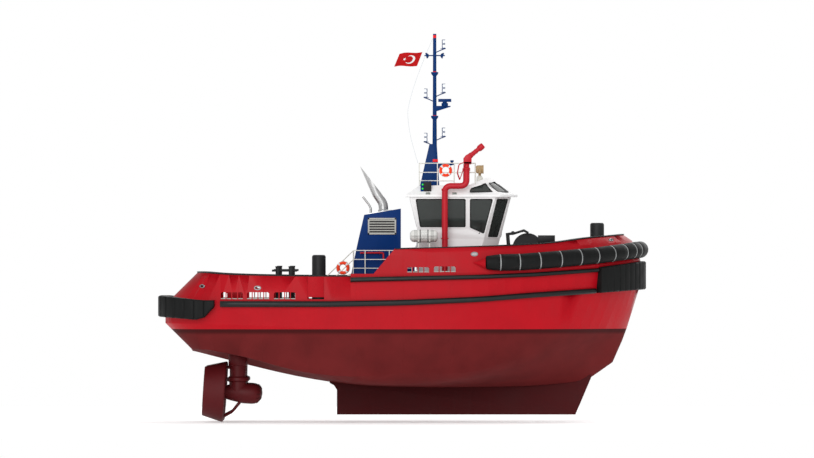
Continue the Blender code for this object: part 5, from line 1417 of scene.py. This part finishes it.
@dataclass
class Casings(Assembly):
    """Blue exhaust casings with their louvres, pipes and fire line."""

    faces: float = 2.75
    line: tuple = ((-0.99, 5.9), (-1.02, 6.45), (-1.34, 6.92), (-2.10, 8.72))
    small: tuple = ((-1.66, 5.8), (-1.66, 6.20), (-1.76, 6.40), (-2.06, 6.78))
    mouth: tuple = ((-2.22, 8.37), (-0.84, 6.61))
    middle: float = 2.1
    bores: tuple[float, float] = (0.24, 0.212)
    small_radius: float = 0.055
    soot_floor: float = 6.2
    grille: float = 2.782
    blade_pitch: float = 0.13
    fire_radius: float = 0.045

    def build(self) -> None:
        """Refine the casings and add what they carry."""
        grilles, slots, lines = [], [], []
        for side, sign in SIDES.items():
            self.refine("exhaust_casing_" + side, BLUE, Slot.CASING, 0.02, smooth=25.0)
            self.louvre(sign, grilles, slots)
            self.exhaust(side, sign)
            lines += self.fire_line(sign)
        self.place("louvre_grilles", joined(grilles), LOUVRE_GREY, Slot.CASING, angle=25)
        # Painted shade: black plates behind the louvre blades.
        self.place("louvre_painted_shade", joined(slots), BOX_BLACK, Slot.CASING)
        self.place("casing_fire_lines", joined(lines), BRIGHT_RED, Slot.FIRE)

    def louvre(self, sign: int, grilles: list, slots: list) -> None:
        """Frame and tilted blades over a black plate, which is painted shade for the recess behind them."""
        face = self.grille
        for low, high in (((-1.80, 4.84), (-0.35, 4.93)), ((-1.80, 5.60), (-0.35, 5.69)),
                          ((-1.80, 4.84), (-1.72, 5.69)), ((-0.43, 4.84), (-0.35, 5.69))):
            grilles.append(block((low[0], sign * (face - 0.01), low[1]),
                                 (high[0], sign * (face + 0.018), high[1]), 0.006))
        for i in range(6):
            foot = 4.885 + self.blade_pitch * i
            blade = ((sign * (face - 0.012), foot + 0.055), (sign * (face + 0.014), foot),
                     (sign * (face + 0.018), foot + 0.012), (sign * (face - 0.008), foot + 0.067))
            grilles.append(slab(blade, -1.73, -0.42, "X"))
        # A black plate behind the blades: painted shade in place of the dark recess.
        slots.append(block((-1.75, sign * (face - 0.03), 4.90), (-0.40, sign * (face - 0.002), 5.64)))

    def exhaust(self, side: str, sign: int) -> None:
        """Main pipe with its slanted mouth, the small one beside it and their seat."""
        y = sign * self.middle
        route = rounded([(u, y, v) for u, v in self.line], 0.7, 8)
        bm = joined([pipe(route, radius, 40) for radius in self.bores])
        along = Vector((self.mouth[1][0] - self.mouth[0][0], 0, self.mouth[1][1] - self.mouth[0][1]))
        normal = Vector((-along.z, 0, along.x)).normalized()
        geometry = list(bm.verts) + list(bm.edges) + list(bm.faces)
        bmesh.ops.bisect_plane(bm, geom=geometry, plane_co=(self.mouth[0][0], y, self.mouth[0][1]),
                               plane_no=normal, clear_outer=True)
        bmesh.ops.bridge_loops(bm, edges=[edge for edge in bm.edges if edge.is_boundary])
        seat = slab(((-1.85, 5.84), (-0.6, 6.05), (-0.6, 6.12), (-1.85, 5.91)), y - 0.30, y + 0.30,
                    bevel=0.01)
        small = pipe(rounded([(u, y, v) for u, v in self.small], 0.2, 6), self.small_radius, 20)
        collar = lathe(((0.29, 5.97), (0.29, 6.09), (0.25, 6.13)), (-0.99, y, 0), steps=40)
        pipes = self.stand_in("exhaust_pipes_" + side, joined([outward(bm), seat, small, collar]), STEEL,
                              Slot.EXHAUST)
        pipes.data.materials.append(SOOT.material())
        tree = BVHTree.FromPolygons(route, [(i, i + 1, i + 1) for i in range(len(route) - 1)])
        for face in pipes.data.polygons:
            near, _, _, gap = tree.find_nearest(face.center)
            inside = near is not None and gap < 0.226 and face.normal.dot(near - face.center) > 0
            if inside and face.center.z > self.soot_floor:
                face.material_index = 1

    def fire_line(self, sign: int) -> list[BMesh]:
        """Thin red main along the casing, with its flanges and clamps."""
        y = sign * (self.faces + 0.085)
        route = rounded(((-2.16, y, 3.90), (-1.0, y, 3.90), (-1.0, y, 3.53)), 0.10, 6)
        shapes = [pipe(route, self.fire_radius, 20), rod((-1.23, y, 3.90), (-1.19, y, 3.90), 0.075, 24),
                  rod((-1.0, y, 3.53), (-1.0, y, 3.57), 0.075, 24)]
        for x in (-2.0, -1.55):
            shapes.append(block((x - 0.02, sign * (self.faces - 0.005), 3.87), (x + 0.02, y, 3.93), 0.004))
        shapes.append(rod((-2.16, y, 3.90), (-2.16, sign * self.faces, 3.90), self.fire_radius, 20))
        return shapes


# Mast and rigging

MAST_X = 1.63


@dataclass
class Rigging(Assembly):
    """What hangs free aloft: the halyard and the flag."""

    thickness: float = 0.012
    halyard: tuple = ((1.545, 0, 14.95), (1.10, 0, 13.9), (0.66, 0, 12.75), (0.36, 0, 11.75),
                      (0.257, 0, 11.25), (0.27, 0, 10.70), (0.40, 0, 9.85), (0.58, 0, 9.15),
                      (0.77, 0, 8.50))
    hoist: tuple = ((1.00, 14.23), (0.72, 13.51))
    fly: float = 1.18

    def build(self) -> None:
        """Hang the halyard as a curve, then the flag beside it."""
        points = [row[0] for row in through([[p] for p in self.halyard], 6)]
        data = round_curve("halyard", points, self.thickness / 2, 3)
        data.materials.append(HALYARD.material())
        line = bpy.data.objects.new("halyard", data)
        bpy.context.scene.collection.objects.link(line)
        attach(line, self.body)
        length = sum((b - a).length for a, b in zip(points, points[1:]))
        tuple(points[0])
        log.info("halyard: %.2f m", length)
        self.flag()

    def cloth(self, down: float, out: float, lift: float = 0.0) -> Vector:
        """A point of the flag, by its shares of hoist and fly, raised off the cloth by a lift."""
        top, foot = self.hoist
        base = Vector((top[0] + (foot[0] - top[0]) * down, 0, top[1] + (foot[1] - top[1]) * down))
        reach = out * self.fly
        wave = 0.055 * out * math.sin(7.5 * out + 1.6 * down) + lift
        droop = 0.10 * out * out + 0.03 * math.sin(6 * out)
        return base + Vector((-reach, wave, -droop + 0.05 * out * down))

    def flag(self) -> None:
        """Red ensign with a white crescent and star on both faces."""
        bm = bmesh.new()
        bmesh.ops.create_grid(bm, x_segments=30, y_segments=18, size=0.5)
        for vert in bm.verts:
            vert.co = self.cloth(0.5 - vert.co.y, 0.5 + vert.co.x)
        area = sum(face.calc_area() for face in bm.faces)
        height = (self.cloth(0, 0) - self.cloth(1, 0)).length
        flag = self.place("flag", bm, FLAG_RED, Slot.FIRE)
        marks = []
        for lift in (-0.004, 0.004):
            arc = [(0.42 + 0.21 * math.cos(t), 0.5 + 0.31 * math.sin(t))
                   for t in (math.radians(50 + 260 * k / 28) for k in range(29))]
            inner = [(0.47 + 0.165 * math.cos(t), 0.5 + 0.245 * math.sin(t))
                     for t in (math.radians(306 - 252 * k / 28) for k in range(29))]
            star = [(0.66 + r * math.cos(t), 0.5 + 1.5 * r * math.sin(t))
                    for r, t in ((0.075 if k % 2 else 0.030, math.radians(36 * k)) for k in range(10))]
            crescent = bmesh.new()
            near = [crescent.verts.new(self.cloth(v, u, lift)) for u, v in arc]
            far = [crescent.verts.new(self.cloth(v, u, lift)) for u, v in reversed(inner)]
            edges = [[crescent.edges.new(pair) for pair in zip(row, row[1:])] for row in (near, far)]
            bmesh.ops.bridge_loops(crescent, edges=edges[0] + edges[1])
            point = bmesh.new()
            bmesh.ops.contextual_create(point, geom=[point.verts.new(self.cloth(v, u, lift))
                                                     for u, v in star])
            marks += [crescent, point]
        badge = self.place("flag_crescent_and_star", joined(marks), TAPE_WHITE, Slot.HOUSE)
        log.info("flag: %.2f by %.2f m", height, area / height)


@dataclass
class Mast(Assembly):
    """Blue mast with red bands, lanterns, floodlights and radar scanners."""

    bands: tuple[float, ...] = (15.03, 13.17, 10.90, 8.65)
    arms: tuple[tuple[float, int], ...] = ((14.42, 1), (12.15, 1), (9.89, 1), (11.90, -1), (9.62, -1))
    collars: tuple[float, ...] = (13.0, 10.75)
    pole_foot: float = 9.07
    pole_radius: float = 0.115
    pole_taper: float = 0.0052
    lamp_height: float = 14.05

    def build(self) -> None:
        """Build the mast with its lanterns, and refine the scanners."""
        metal = self.trunk()
        lenses, screens = [], []
        for height, way in self.arms:
            x = MAST_X + way * 0.46
            metal.append(pipe(rounded(((MAST_X, 0, height - 0.24), (MAST_X + way * 0.30, 0, height - 0.10),
                                       (MAST_X + way * 0.57, 0, height)), 0.2, 6), 0.026, 14))
            metal.append(block((MAST_X + way * 0.30, -0.05, height - 0.035),
                               (MAST_X + way * 0.57, 0.05, height - 0.005), 0.006))
            for foot in (0.0, 0.235):
                screens.append(lathe(((0.085, 0), (0.085, 0.03)), (x, 0, height + foot), steps=28))
                screens.append(lathe(((0.085, 0), (0.085, 0.025)), (x, 0, height + foot + 0.19), steps=28))
                screens.append(block((x - way * 0.088, -0.07, height + foot),
                                     (x - way * 0.060, 0.07, height + foot + 0.215), 0.008))
                lenses.append(lathe(((0.052, 0.03), (0.060, 0.06), (0.060, 0.16), (0.052, 0.19)),
                                    (x, 0, height + foot), steps=28))
        metal += self.lamp_rod(lenses)
        self.stand_in("mast", joined(metal), MAST_BLUE, Slot.CASING)
        self.place("lantern_screens", joined(screens), MAST_BLUE, Slot.CASING)
        self.place("lantern_lenses", joined(lenses), LENS, Slot.GLASS)
        self.place("mast_bands", joined(self.red_bands()), BAND_RED, Slot.CASING)
        self.refine("radar_scanner_upper", MAST_BLUE, Slot.CASING, 0.03, body="upper_scanner")
        self.refine("radar_scanner_lower", MAST_BLUE, Slot.CASING, 0.02, body="lower_scanner")

    def trunk(self) -> list[BMesh]:
        """Plated trunk, pole, collars and scanner brackets."""
        corners = [[(a, -y, z), (b, -y, z), (b, y, z), (a, y, z)]
                   for a, b, y, z in ((0.85, 1.88, 0.30, 7.25), (1.36, 1.74, 0.11, 9.50))]
        shapes = [soften(bridge(corners), 0.02), lathe(((self.pole_radius, 0), (self.pole_radius, 0.4),
                                                        (0.095, 3.0), (0.085, 6.085), (0.078, 6.10)),
                                                       (MAST_X, 0, self.pole_foot))]
        for height in self.collars:
            shapes.append(lathe(((0.10, 0), (0.175, 0.10), (0.19, 0.17), (0.19, 0.20), (0.10, 0.20)),
                                (MAST_X, 0, height)))
        for x, seat, radius, height, reach, half in ((2.15, 11.61, 0.17, 0.16, 0.30, 0.09),
                                                     (2.52, 8.54, 0.09, 0.06, 0.16, 0.07)):
            foot = seat - height
            shapes.append(lathe(((radius, 0), (radius, height - 0.02), (radius - 0.02, height)),
                                (x, 0, foot)))
            shapes.append(slab(((MAST_X, foot - 0.30), (MAST_X, foot + 0.01), (x + reach, foot + 0.01),
                                (x + reach, foot - 0.04)), -half, half, bevel=0.01))
        return shapes

    def lamp_rod(self, lenses: list) -> list[BMesh]:
        """The rod with a tilted floodlight each way."""
        height = self.lamp_height
        shapes = [pipe(((1.10, 0, height), (2.16, 0, height)), 0.03, 16)]
        for way in (-1, 1):
            tilt = Vector((-way, 0, 0.3)).normalized()
            centre = Vector((MAST_X + way * 0.40, 0, height))
            shapes.append(lathe(((0.06, -0.10), (0.14, -0.02), (0.145, 0.0), (0.15, 0.02), (0.15, 0.05),
                                 (0.135, 0.05), (0.12, 0.0)), centre, -tilt, 32))
            lenses.append(lathe(((0.0, 0.012), (0.118, 0.01), (0.118, 0.02), (0.0, 0.032)), centre, -tilt,
                                32))
        return shapes

    def red_bands(self) -> list[BMesh]:
        """Painted bands round the pole, and a low one round the trunk."""
        shapes = []
        for height in self.bands[:3]:
            radius = self.pole_radius - self.pole_taper * (height - self.pole_foot)
            shapes.append(lathe(((radius + 0.004, -0.075), (radius + 0.004, 0.075)), (MAST_X, 0, height)))
        shapes.append(block((1.53, -0.192, 8.57), (1.80, 0.192, 8.71), 0.004))
        return shapes


# Fire fighting

@dataclass
class FireGear(Assembly):
    """Fire mains with their monitors, and the searchlight."""

    y: float = 2.80
    foot: float = 2.145
    seat: tuple[float, float] = (3.26, 8.18)
    pivot: tuple[float, float] = (3.33, 8.78)
    rise: float = math.radians(39)

    def build(self) -> None:
        """Build both sides and the lamp."""
        for side, sign in SIDES.items():
            self.main(side, sign)
            self.monitor(side, sign)
        self.searchlight()

    def bolts(self, centre: Vector, radius: float, count: int = 8) -> list[BMesh]:
        """A ring of bolt heads standing on a level flange."""
        shapes = []
        for turn in turns(count, 0.5):
            place = centre + Vector((radius * math.cos(turn), radius * math.sin(turn), 0))
            shapes.append(rod(place - UP * 0.004, place + UP * 0.016, 0.014, 6))
        return shapes

    def main(self, side: str, sign: int) -> None:
        """Riser with its offset, flanges and clamp."""
        y = sign * self.y
        x, top = self.seat
        route = rounded(((self.foot, y, 2.80), (self.foot, y, 7.33), (x, y, 7.33), (x, y, top)), 0.34, 12)
        shapes = [pipe(route, 0.155, 32)]
        for place, low, high, radius in ((self.foot, 2.84, 2.89, 0.22), (self.foot, 4.60, 4.66, 0.20),
                                         (x, top - 0.07, top - 0.01, 0.19)):
            shapes.append(lathe(((radius, low), (radius, high - 0.01), (radius - 0.01, high)),
                                (place, y, 0), steps=36))
        shapes += self.bolts(Vector((self.foot, y, 2.89)), 0.19)
        shapes.append(block((2.0, y, 7.10), (2.30, sign * 2.45, 7.18), 0.01))
        shapes.append(lathe(((0.165, 7.08), (0.175, 7.10), (0.175, 7.18), (0.165, 7.20)),
                            (self.foot, y, 0), steps=36))
        self.stand_in("fire_main_" + side, joined(shapes), BRIGHT_RED, Slot.FIRE)

    def monitor(self, side: str, sign: int) -> None:
        """Training base with its ears and levers, and the barrel with its axle and rings."""
        y = sign * self.y
        x, seat = self.seat
        ears = ((3.12, 8.46), (3.52, 8.46), (3.52, 8.80), (3.43, 8.93), (3.24, 8.93), (3.12, 8.78))
        shapes = [lathe(((0.19, 0.0), (0.19, 0.06), (0.18, 0.07), (0.145, 0.10), (0.14, 0.30)),
                        (x, y, seat), steps=36),
                  block((3.12, y - 0.26, 8.46), (3.52, y + 0.26, 8.57), 0.012)]
        shapes += self.bolts(Vector((x, y, seat + 0.066)), 0.165)
        for cheek in (-1, 1):
            shapes.append(slab(ears, y + cheek * 0.20, y + cheek * 0.26, bevel=0.01))
        lever = rounded([(u, y + sign * 0.22, v) for u, v in ((3.16, 8.55), (2.88, 8.45), (2.80, 8.0),
                                                              (2.92, 7.66))], 0.12, 6)
        shapes.append(pipe(lever, 0.022, 14))
        rest = rounded([(u, y + sign * 0.22, v) for u, v in ((3.18, 8.47), (3.04, 8.0), (2.92, 7.66))],
                       0.1, 5)
        shapes.append(pipe(rest, 0.016, 12))
        self.stand_in("monitor_base_" + side, joined(shapes), BRIGHT_RED, Slot.FIRE, side + "_monitor")
        centre = Vector((self.pivot[0], y, self.pivot[1]))
        aim = Vector((math.cos(self.rise), 0, math.sin(self.rise)))
        barrel = lathe(((0.0, -0.14), (0.13, -0.13), (0.15, 0.0), (0.14, 0.22), (0.122, 0.28),
                        (0.115, 0.32), (0.110, 0.70), (0.155, 0.76), (0.16, 0.79), (0.16, 0.94),
                        (0.15, 0.98), (0.13, 1.02), (0.105, 1.02), (0.085, 0.90), (0.085, 0.55),
                        (0.0, 0.55)), centre, aim, 40)
        axle = Vector((0, 0.1994, 0))
        parts = [barrel, rod(centre - axle, centre + axle, 0.10, 32)]
        for place in (0.34, 0.52):
            parts.append(lathe(((0.118, 0), (0.130, 0.008), (0.130, 0.03), (0.118, 0.038)),
                               centre + aim * place, aim, 40))
        self.stand_in("monitor_barrel_" + side, joined(parts), BRIGHT_RED, Slot.FIRE, side + "_barrel")

    def searchlight(self) -> None:
        """Tan drum lamp in its yoke on a white seat."""
        x, top = 3.95, 7.87
        seat = lathe(((0.17, 7.5), (0.17, 7.74), (0.15, 7.80), (0.10, 7.85), (0.09, top)), (x, 0, 0))
        self.stand_in("searchlight_seat", seat, CREAM, Slot.HOUSE)
        centre = (x - 0.01, 0, 8.19)
        shapes = [lathe(((0.07, top + 0.001), (0.07, top + 0.10)), (x, 0, 0)),
                  block((x - 0.06, -0.26, top + 0.08), (x + 0.06, 0.26, top + 0.12), 0.01),
                  lathe(((0.0, -0.21), (0.14, -0.21), (0.17, -0.19), (0.205, -0.12), (0.215, -0.08),
                         (0.215, 0.17), (0.222, 0.18), (0.222, 0.21), (0.20, 0.21), (0.185, 0.15),
                         (0.0, 0.15)), centre, (1, 0, 0), 40)]
        for sign in SIDES.values():
            shapes.append(block((x - 0.06, sign * 0.225, top + 0.08), (x + 0.06, sign * 0.26, 8.24), 0.01))
            shapes.append(rod((x - 0.01, sign * 0.20, 8.19), (x - 0.01, sign * 0.275, 8.19), 0.035, 20))
        self.stand_in("searchlight", joined(shapes), TAN, Slot.LAMP, "lamp")
        glass = lathe(((0.0, 0.175), (0.186, 0.165), (0.186, 0.172), (0.0, 0.185)), centre, (1, 0, 0), 40)
        self.place("searchlight_glass", glass, LENS, Slot.GLASS, "lamp")


# Rails, lifebuoys and liferafts

@dataclass
class SafetyGear(Assembly):
    """Rails, stairs, lifebuoys and liferafts."""

    rail: float = 0.022
    post: float = 0.025
    ring: float = 0.255
    tube: float = 0.075
    raft_ribs: tuple[float, ...] = (0.60, 0.66, 0.72, 1.45, 1.51, 1.57)

    def build(self) -> None:
        """Build the roof's gear and both sides' gear."""
        self.roof_rail()
        self.lifebuoy("roof_lifebuoy", Vector((2.19, -2.025, 8.13)))
        for side, sign in SIDES.items():
            self.casing_rail(side, sign)
            self.lifebuoy("stair_lifebuoy_" + side, Vector((-3.08, sign * 3.15, 3.12)))
            self.liferaft(side, sign)

    def roof_rail(self) -> None:
        """Three rails round the aft part of the roof, with posts, and a ball on each fore post's head."""
        y, aft = 1.98, 0.84
        shapes = []
        for height, fore in ((8.50, 3.72), (8.03, 3.72), (7.60, 2.64)):
            line = rounded(((fore, -y, height), (aft, -y, height), (aft, y, height), (fore, y, height)),
                           0.10, 5)
            shapes.append(pipe(line, self.rail, 14))
        for x, across in [(x, s * y) for x in (0.84, 1.77, 2.64, 3.72) for s in (-1, 1)] + [(aft, 0.0)]:
            shapes.append(pipe(((x, across, 7.2), (x, across, 8.50)), self.post, 14))
        for s in (-1, 1):
            shapes.append(ball((3.72, s * y, 8.50), self.post * 1.1))
        self.stand_in("roof_rail", joined(shapes), CREAM, Slot.HOUSE)

    def lifebuoy(self, name: str, centre: Vector) -> None:
        """Orange ring with four white bands and its grab line."""
        profile = [(self.ring + self.tube * math.cos(t), 0.06 * math.sin(t)) for t in turns(20)]
        ring = lathe(profile, centre, (0, 1, 0), 56, True)
        self.place(name + "_ring", ring, ORANGE, Slot.HOUSE)
        bands = []
        for k in range(4):
            loops = []
            for step in range(6):
                turn = math.radians(45 + 90 * k - 9 + 18 * step / 5)
                out = Vector((math.cos(turn), 0, math.sin(turn)))
                loops.append([centre + out * (self.ring + 0.079 * math.cos(t))
                              + Vector((0, 0.064 * math.sin(t), 0)) for t in turns(20)])
            bands.append(bridge(loops))
        self.place(name + "_bands", joined(bands), TAPE_WHITE, Slot.HOUSE)
        line = [centre + Vector((math.cos(t), 0, math.sin(t))) * (0.337 + 0.012 * abs(math.cos(2 * t)))
                for t in turns(64)]
        self.place(name + "_line", pipe(line, 0.006, 8, False, True), GRAB_LINE, Slot.HOUSE)

    def casing_rail(self, side: str, sign: int) -> None:
        """Rails outboard of a casing and down the stairs, with treads and stringers."""
        y, inner = sign * 3.10, sign * 2.30
        newel = -3.86
        shapes = []
        for height in (4.02, 3.56):
            line = ((0.45, y, height), (-2.55, y, height), (newel, y, height - 1.27))
            shapes.append(pipe(rounded(line, 0.12, 5), self.rail, 14))
        shapes.append(pipe(((0.45, y, 3.11), (-2.55, y, 3.11)), self.rail, 14))
        for x in (-2.55, -1.94, -0.70, 0.45):
            shapes.append(pipe(((x, y, 2.80), (x, y, 4.02)), self.post, 14))
        shapes.append(pipe(((newel, y, 1.45), (newel, y, 2.75)), self.post, 14))
        stringer = ((-2.69, 2.60), (-2.69, 2.80), (-2.80, 2.80), (-4.02, 1.60), (-4.02, 1.45),
                    (-3.86, 1.45))
        for edge in (y, inner):
            shapes.append(slab(stringer, edge - 0.02, edge + 0.02, bevel=0.004))
        for i in range(5):
            back, step = -3.92 + i * 0.229, 1.70 + i * 0.225
            shapes.append(block((back, inner, step), (back + 0.24, y, step + 0.04), 0.006))
        self.stand_in("casing_rail_" + side, joined(shapes), CREAM, Slot.HOUSE)

    def liferaft(self, side: str, sign: int) -> None:
        """Ribbed canister with its seam, lashings and painted shade on its ribs, on two cradles."""
        y, height = sign * 3.35, 4.76
        centre = (0, y, height)
        profile = [(0.0, 0.36), (0.13, 0.36), (0.20, 0.385), (0.265, 0.44), (0.30, 0.51), (0.305, 0.56)]
        for x in self.raft_ribs[:3]:
            profile += [(0.305, x - 0.012), (0.316, x), (0.305, x + 0.012)]
        profile += [(0.325, 0.75), (0.325, 1.41)]
        for x in self.raft_ribs[3:]:
            profile += [(0.305, x - 0.012), (0.316, x), (0.305, x + 0.012)]
        profile += [(0.305, 1.63), (0.30, 1.66), (0.265, 1.72), (0.20, 1.765), (0.13, 1.79), (0.0, 1.79)]
        shell = lathe(profile, centre, (1, 0, 0), 48)
        cradle = []
        for x in (0.80, 1.36):
            for across in (-0.21, 0.21):
                cradle.append(block((x - 0.03, y + across - 0.03, 2.80),
                                    (x + 0.03, y + across + 0.03, 4.60), 0.006))
            cradle.append(block((x - 0.03, y - 0.24, 4.40), (x + 0.03, y + 0.24, 4.48), 0.006))
        self.place("liferaft_" + side + "_shell", shell, RAFT_WHITE, Slot.RAFT,
                   replaces=("liferaft_" + side,))
        self.place("liferaft_" + side + "_cradle", joined(cradle), CREAM, Slot.RAFT)
        straps = []
        for x in (0.88, 1.28):
            straps.append(lathe(((0.326, x - 0.022), (0.331, x - 0.020), (0.331, x + 0.020),
                                 (0.326, x + 0.022)), centre, (1, 0, 0), 48))
        seam = [(0.37, 0.135), (0.44, 0.268), (0.51, 0.304), (0.56, 0.309), (0.73, 0.309), (0.75, 0.329),
                (1.41, 0.329), (1.43, 0.309), (1.63, 0.309), (1.72, 0.268), (1.78, 0.135)]
        for way in (-1, 1):
            straps.append(pipe([(x, y + way * r, height) for x, r in seam], 0.008, 8))
        # Thin black rings on the rib crests: painted shade for the dark lines at the ribs.
        for x in self.raft_ribs:
            straps.append(lathe(((0.315, x - 0.005), (0.319, x - 0.004), (0.319, x + 0.004),
                                 (0.315, x + 0.005)), centre, (1, 0, 0), 48))
        for low, high in ((8, 40), (-34, -14)):
            lashing = []
            for k in range(9):
                turn = math.radians(high if k % 2 else low)
                lashing.append((0.92 + 0.04 * k, y + sign * 0.331 * math.cos(turn),
                                height + 0.331 * math.sin(turn)))
            straps.append(pipe(lashing, 0.007, 8))
        self.place("liferaft_" + side + "_straps", joined(straps), BOX_BLACK, Slot.RAFT)


# Deck gear

@dataclass
class DeckGear(Assembly):
    """Winch, staples, bitts and hatch."""

    drum_centre: tuple[float, float, float] = (6.41, 0, 4.14)
    hawser_turns: int = 20
    hawser_span: float = 1.46
    hawser_radius: float = 0.655

    def build(self) -> None:
        """Build the gear from bow to stern."""
        self.refine("winch_frame", BLACK, Slot.BLACK, 0.012)
        self.drum()
        self.staple("bow_staple", 9.99, 3.10, 5.44)
        self.staple("aft_staple", -4.33, 1.45, 3.79)
        for side, sign in SIDES.items():
            self.bitts(side, sign)
        self.refine("deck_hatch", BULWARK_RED, Slot.HULL, 0.01)
        self.refine("hatch_lid", BULWARK_RED, Slot.HULL, 0.01, body="lid")

    def drum(self) -> None:
        """Winch drum with its hawser wound on in level turns."""
        centre = self.drum_centre
        drum = lathe(((0.0, -1.0197), (0.19, -1.0197), (0.19, -0.80), (0.76, -0.80), (0.77, -0.79),
                      (0.77, -0.75), (0.76, -0.74), (0.58, -0.74), (0.58, 0.74), (0.76, 0.74),
                      (0.77, 0.75), (0.77, 0.79), (0.76, 0.80), (0.19, 0.80), (0.19, 1.0197),
                      (0.0, 1.0197)), centre, (0, 1, 0), 64)
        self.stand_in("winch_drum", drum, BLACK, Slot.BLACK, "drum")
        pitch = self.hawser_span / self.hawser_turns
        profile = []
        for i in range(self.hawser_turns):
            middle = -0.73 + pitch * (i + 0.5)
            for k in range(7):
                t = math.pi * (k + 0.5) / 7
                profile.append((self.hawser_radius + 0.5 * pitch * math.sin(t),
                                middle - 0.5 * pitch * math.cos(t)))
        profile = [(0.575, -0.73), *profile, (0.575, 0.73)]
        self.place("hawser_on_drum", lathe(profile, centre, (0, 1, 0), 64, True), HAWSER, Slot.BLACK,
                   "drum", angle=60)

    def staple(self, node: str, x: float, foot: float, top: float) -> None:
        """Towing staple: two domed legs and the bar between them."""
        shapes = []
        for sign in SIDES.values():
            shapes.append(lathe(((0.0, foot), (0.35, foot), (0.35, top - 0.10), (0.335, top - 0.05),
                                 (0.29, top - 0.008), (0.25, top), (0.0, top)), (x, sign * 0.68, 0),
                                steps=40))
        shapes.append(rod((x, -0.68, top - 0.42), (x, 0.68, top - 0.42), 0.30, 40))
        self.stand_in(node, joined(shapes), BLACK, Slot.BLACK)

    def bitts(self, side: str, sign: int) -> None:
        """Two posts on a base, with a bar through them."""
        y, deck = sign * 4.70, 1.49
        shapes = [block((-6.80, y - 0.25, deck - 0.01), (-5.30, y + 0.25, deck + 0.04), 0.01),
                  pipe(((-6.70, y, 2.995), (-5.41, y, 2.995)), 0.055, 20)]
        for x in (-6.39, -5.72):
            shapes.append(lathe(((0.125, deck), (0.125, 3.16), (0.14, 3.175), (0.14, 3.21), (0.13, 3.22)),
                                (x, y, 0), steps=32))
        self.stand_in("side_bitts_" + side, joined(shapes), BLACK, Slot.BLACK)


# Drives

@dataclass
class Drives(Assembly):
    """Steering thrusters with their nozzles, and the propellers."""

    x: float = -8.46
    y: float = 2.70
    shaft: float = -3.29
    tilt: float = math.radians(3.6)
    nozzle_start: float = 0.66

    def build(self) -> None:
        """Build both drives."""
        for side, sign in SIDES.items():
            start = Vector((self.x, sign * self.y, self.shaft))
            aft = Vector((-math.cos(self.tilt), 0, math.sin(self.tilt)))
            self.refine("thruster_pad_" + side, POD_RED, Slot.BOTTOM, 0.01, 40)
            self.pod(side, start, aft)
            self.propeller(side, start, aft)

    def pod(self, side: str, start: Vector, aft: Vector) -> None:
        """Stem, gear housing with its nose, struts and nozzle."""
        y = start.y
        lip = start + aft * self.nozzle_start
        shapes = [lathe(((0.43, -1.8903), (0.42, -2.44), (0.50, -2.47), (0.55, -2.50), (0.57, -2.54),
                         (0.57, -2.64), (0.55, -2.67), (0.45, -2.72), (0.45, -3.40)), (start.x, y, 0),
                        steps=44),
                  lathe(((0.0, -1.20), (0.10, -1.19), (0.22, -1.16), (0.32, -1.11), (0.41, -1.03),
                         (0.46, -0.95), (0.495, -0.84), (0.51, -0.70), (0.51, -0.30), (0.49, -0.12),
                         (0.46, 0.0), (0.40, 0.35), (0.33, 0.62), (0.27, 0.86), (0.0, 0.86)), start, aft,
                        48),
                  lathe(((1.20, 0.0), (1.30, 0.0), (1.42, 0.005), (1.49, 0.025), (1.52, 0.06),
                         (1.525, 0.11), (1.26, 1.10), (1.22, 1.125), (1.16, 1.12), (1.09, 0.85),
                         (1.07, 0.65), (1.07, 0.32), (1.10, 0.15)), lip, aft, 96, True),
                  block((-9.25, y - 0.08, -2.05), (self.x - 0.10, y + 0.08, -1.92), 0.02)]
        for cant in (-1, 1):
            strut = (start + Vector((0.30, 0, -0.20)), start + Vector((-0.30, cant * 0.12, -0.95)),
                     lip + Vector((-0.15, cant * 0.50, -1.27)))
            shapes.append(pipe(rounded(strut, 0.4, 8), 0.075, 20))
        self.stand_in("thruster_" + side, joined(shapes), POD_RED, Slot.BOTTOM, side + "_thruster", 28)
        across = Vector((0, 1, 0))
        up = aft.cross(across).normalized()
        slots = []
        for turn in turns(12):
            out = across * math.cos(turn) + up * math.sin(turn)
            slots.append(pipe([start + aft * place + out * radius
                               for place, radius in ((-1.165, 0.215), (-1.115, 0.318), (-1.035, 0.41),
                                                     (-0.96, 0.457))], 0.016, 8))
        # The ribs take the darker copy of the antifouling, which is painted shade.
        self.place("thruster_" + side + "_ribs", joined(slots), SHADED_ANTIFOULING, Slot.BOTTOM, side + "_thruster")

    def propeller(self, side: str, start: Vector, aft: Vector) -> None:
        """Four swept blades on a faired hub."""
        hub = start + aft * 0.8603
        across = Vector((0, 1, 0))
        up = aft.cross(across).normalized()
        shapes = [lathe(((0.0, 0.0), (0.26, 0.0), (0.26, 0.12), (0.25, 0.34), (0.21, 0.46), (0.16, 0.56),
                         (0.09, 0.64), (0.04, 0.66), (0.0, 0.66)), hub, aft, 40)]
        middle = hub + aft * 0.20
        table = ((0.18, 0.30, 0.035, 52), (0.50, 0.52, 0.035, 38), (0.82, 0.56, 0.030, 28),
                 (1.00, 0.30, 0.012, 24))
        for angle in turns(4, 0.5):
            out = across * math.cos(angle) + up * math.sin(angle)
            tangent = aft.cross(out)
            rings = []
            for radius, chord, thick, pitch in table:
                slope = math.radians(pitch)
                along = tangent * math.cos(slope) + aft * math.sin(slope)
                normal = along.cross(out)
                rings.append([middle + out * radius + along * (0.5 * chord * math.cos(t))
                              + normal * (thick * math.sin(t)) for t in turns(20)])
            shapes.append(bridge(through(rings, 5)))
        self.stand_in("propeller_" + side, joined(shapes), BRONZE, Slot.BRONZE, side + "_propeller")


def main() -> None:
    """Build the studio and every sub-assembly, in order."""
    logging.basicConfig(level=logging.INFO, format="%(name)s %(message)s")
    Studio().build()
    for assembly in (Rigging(), Hull(), Bulwarks(), Fenders(), House(), Casings(), Mast(), FireGear(),
                     SafetyGear(), DeckGear(), Drives()):
        log.info("building %s", type(assembly).__name__)
        assembly.build()


if __name__ == "__main__":
    main()
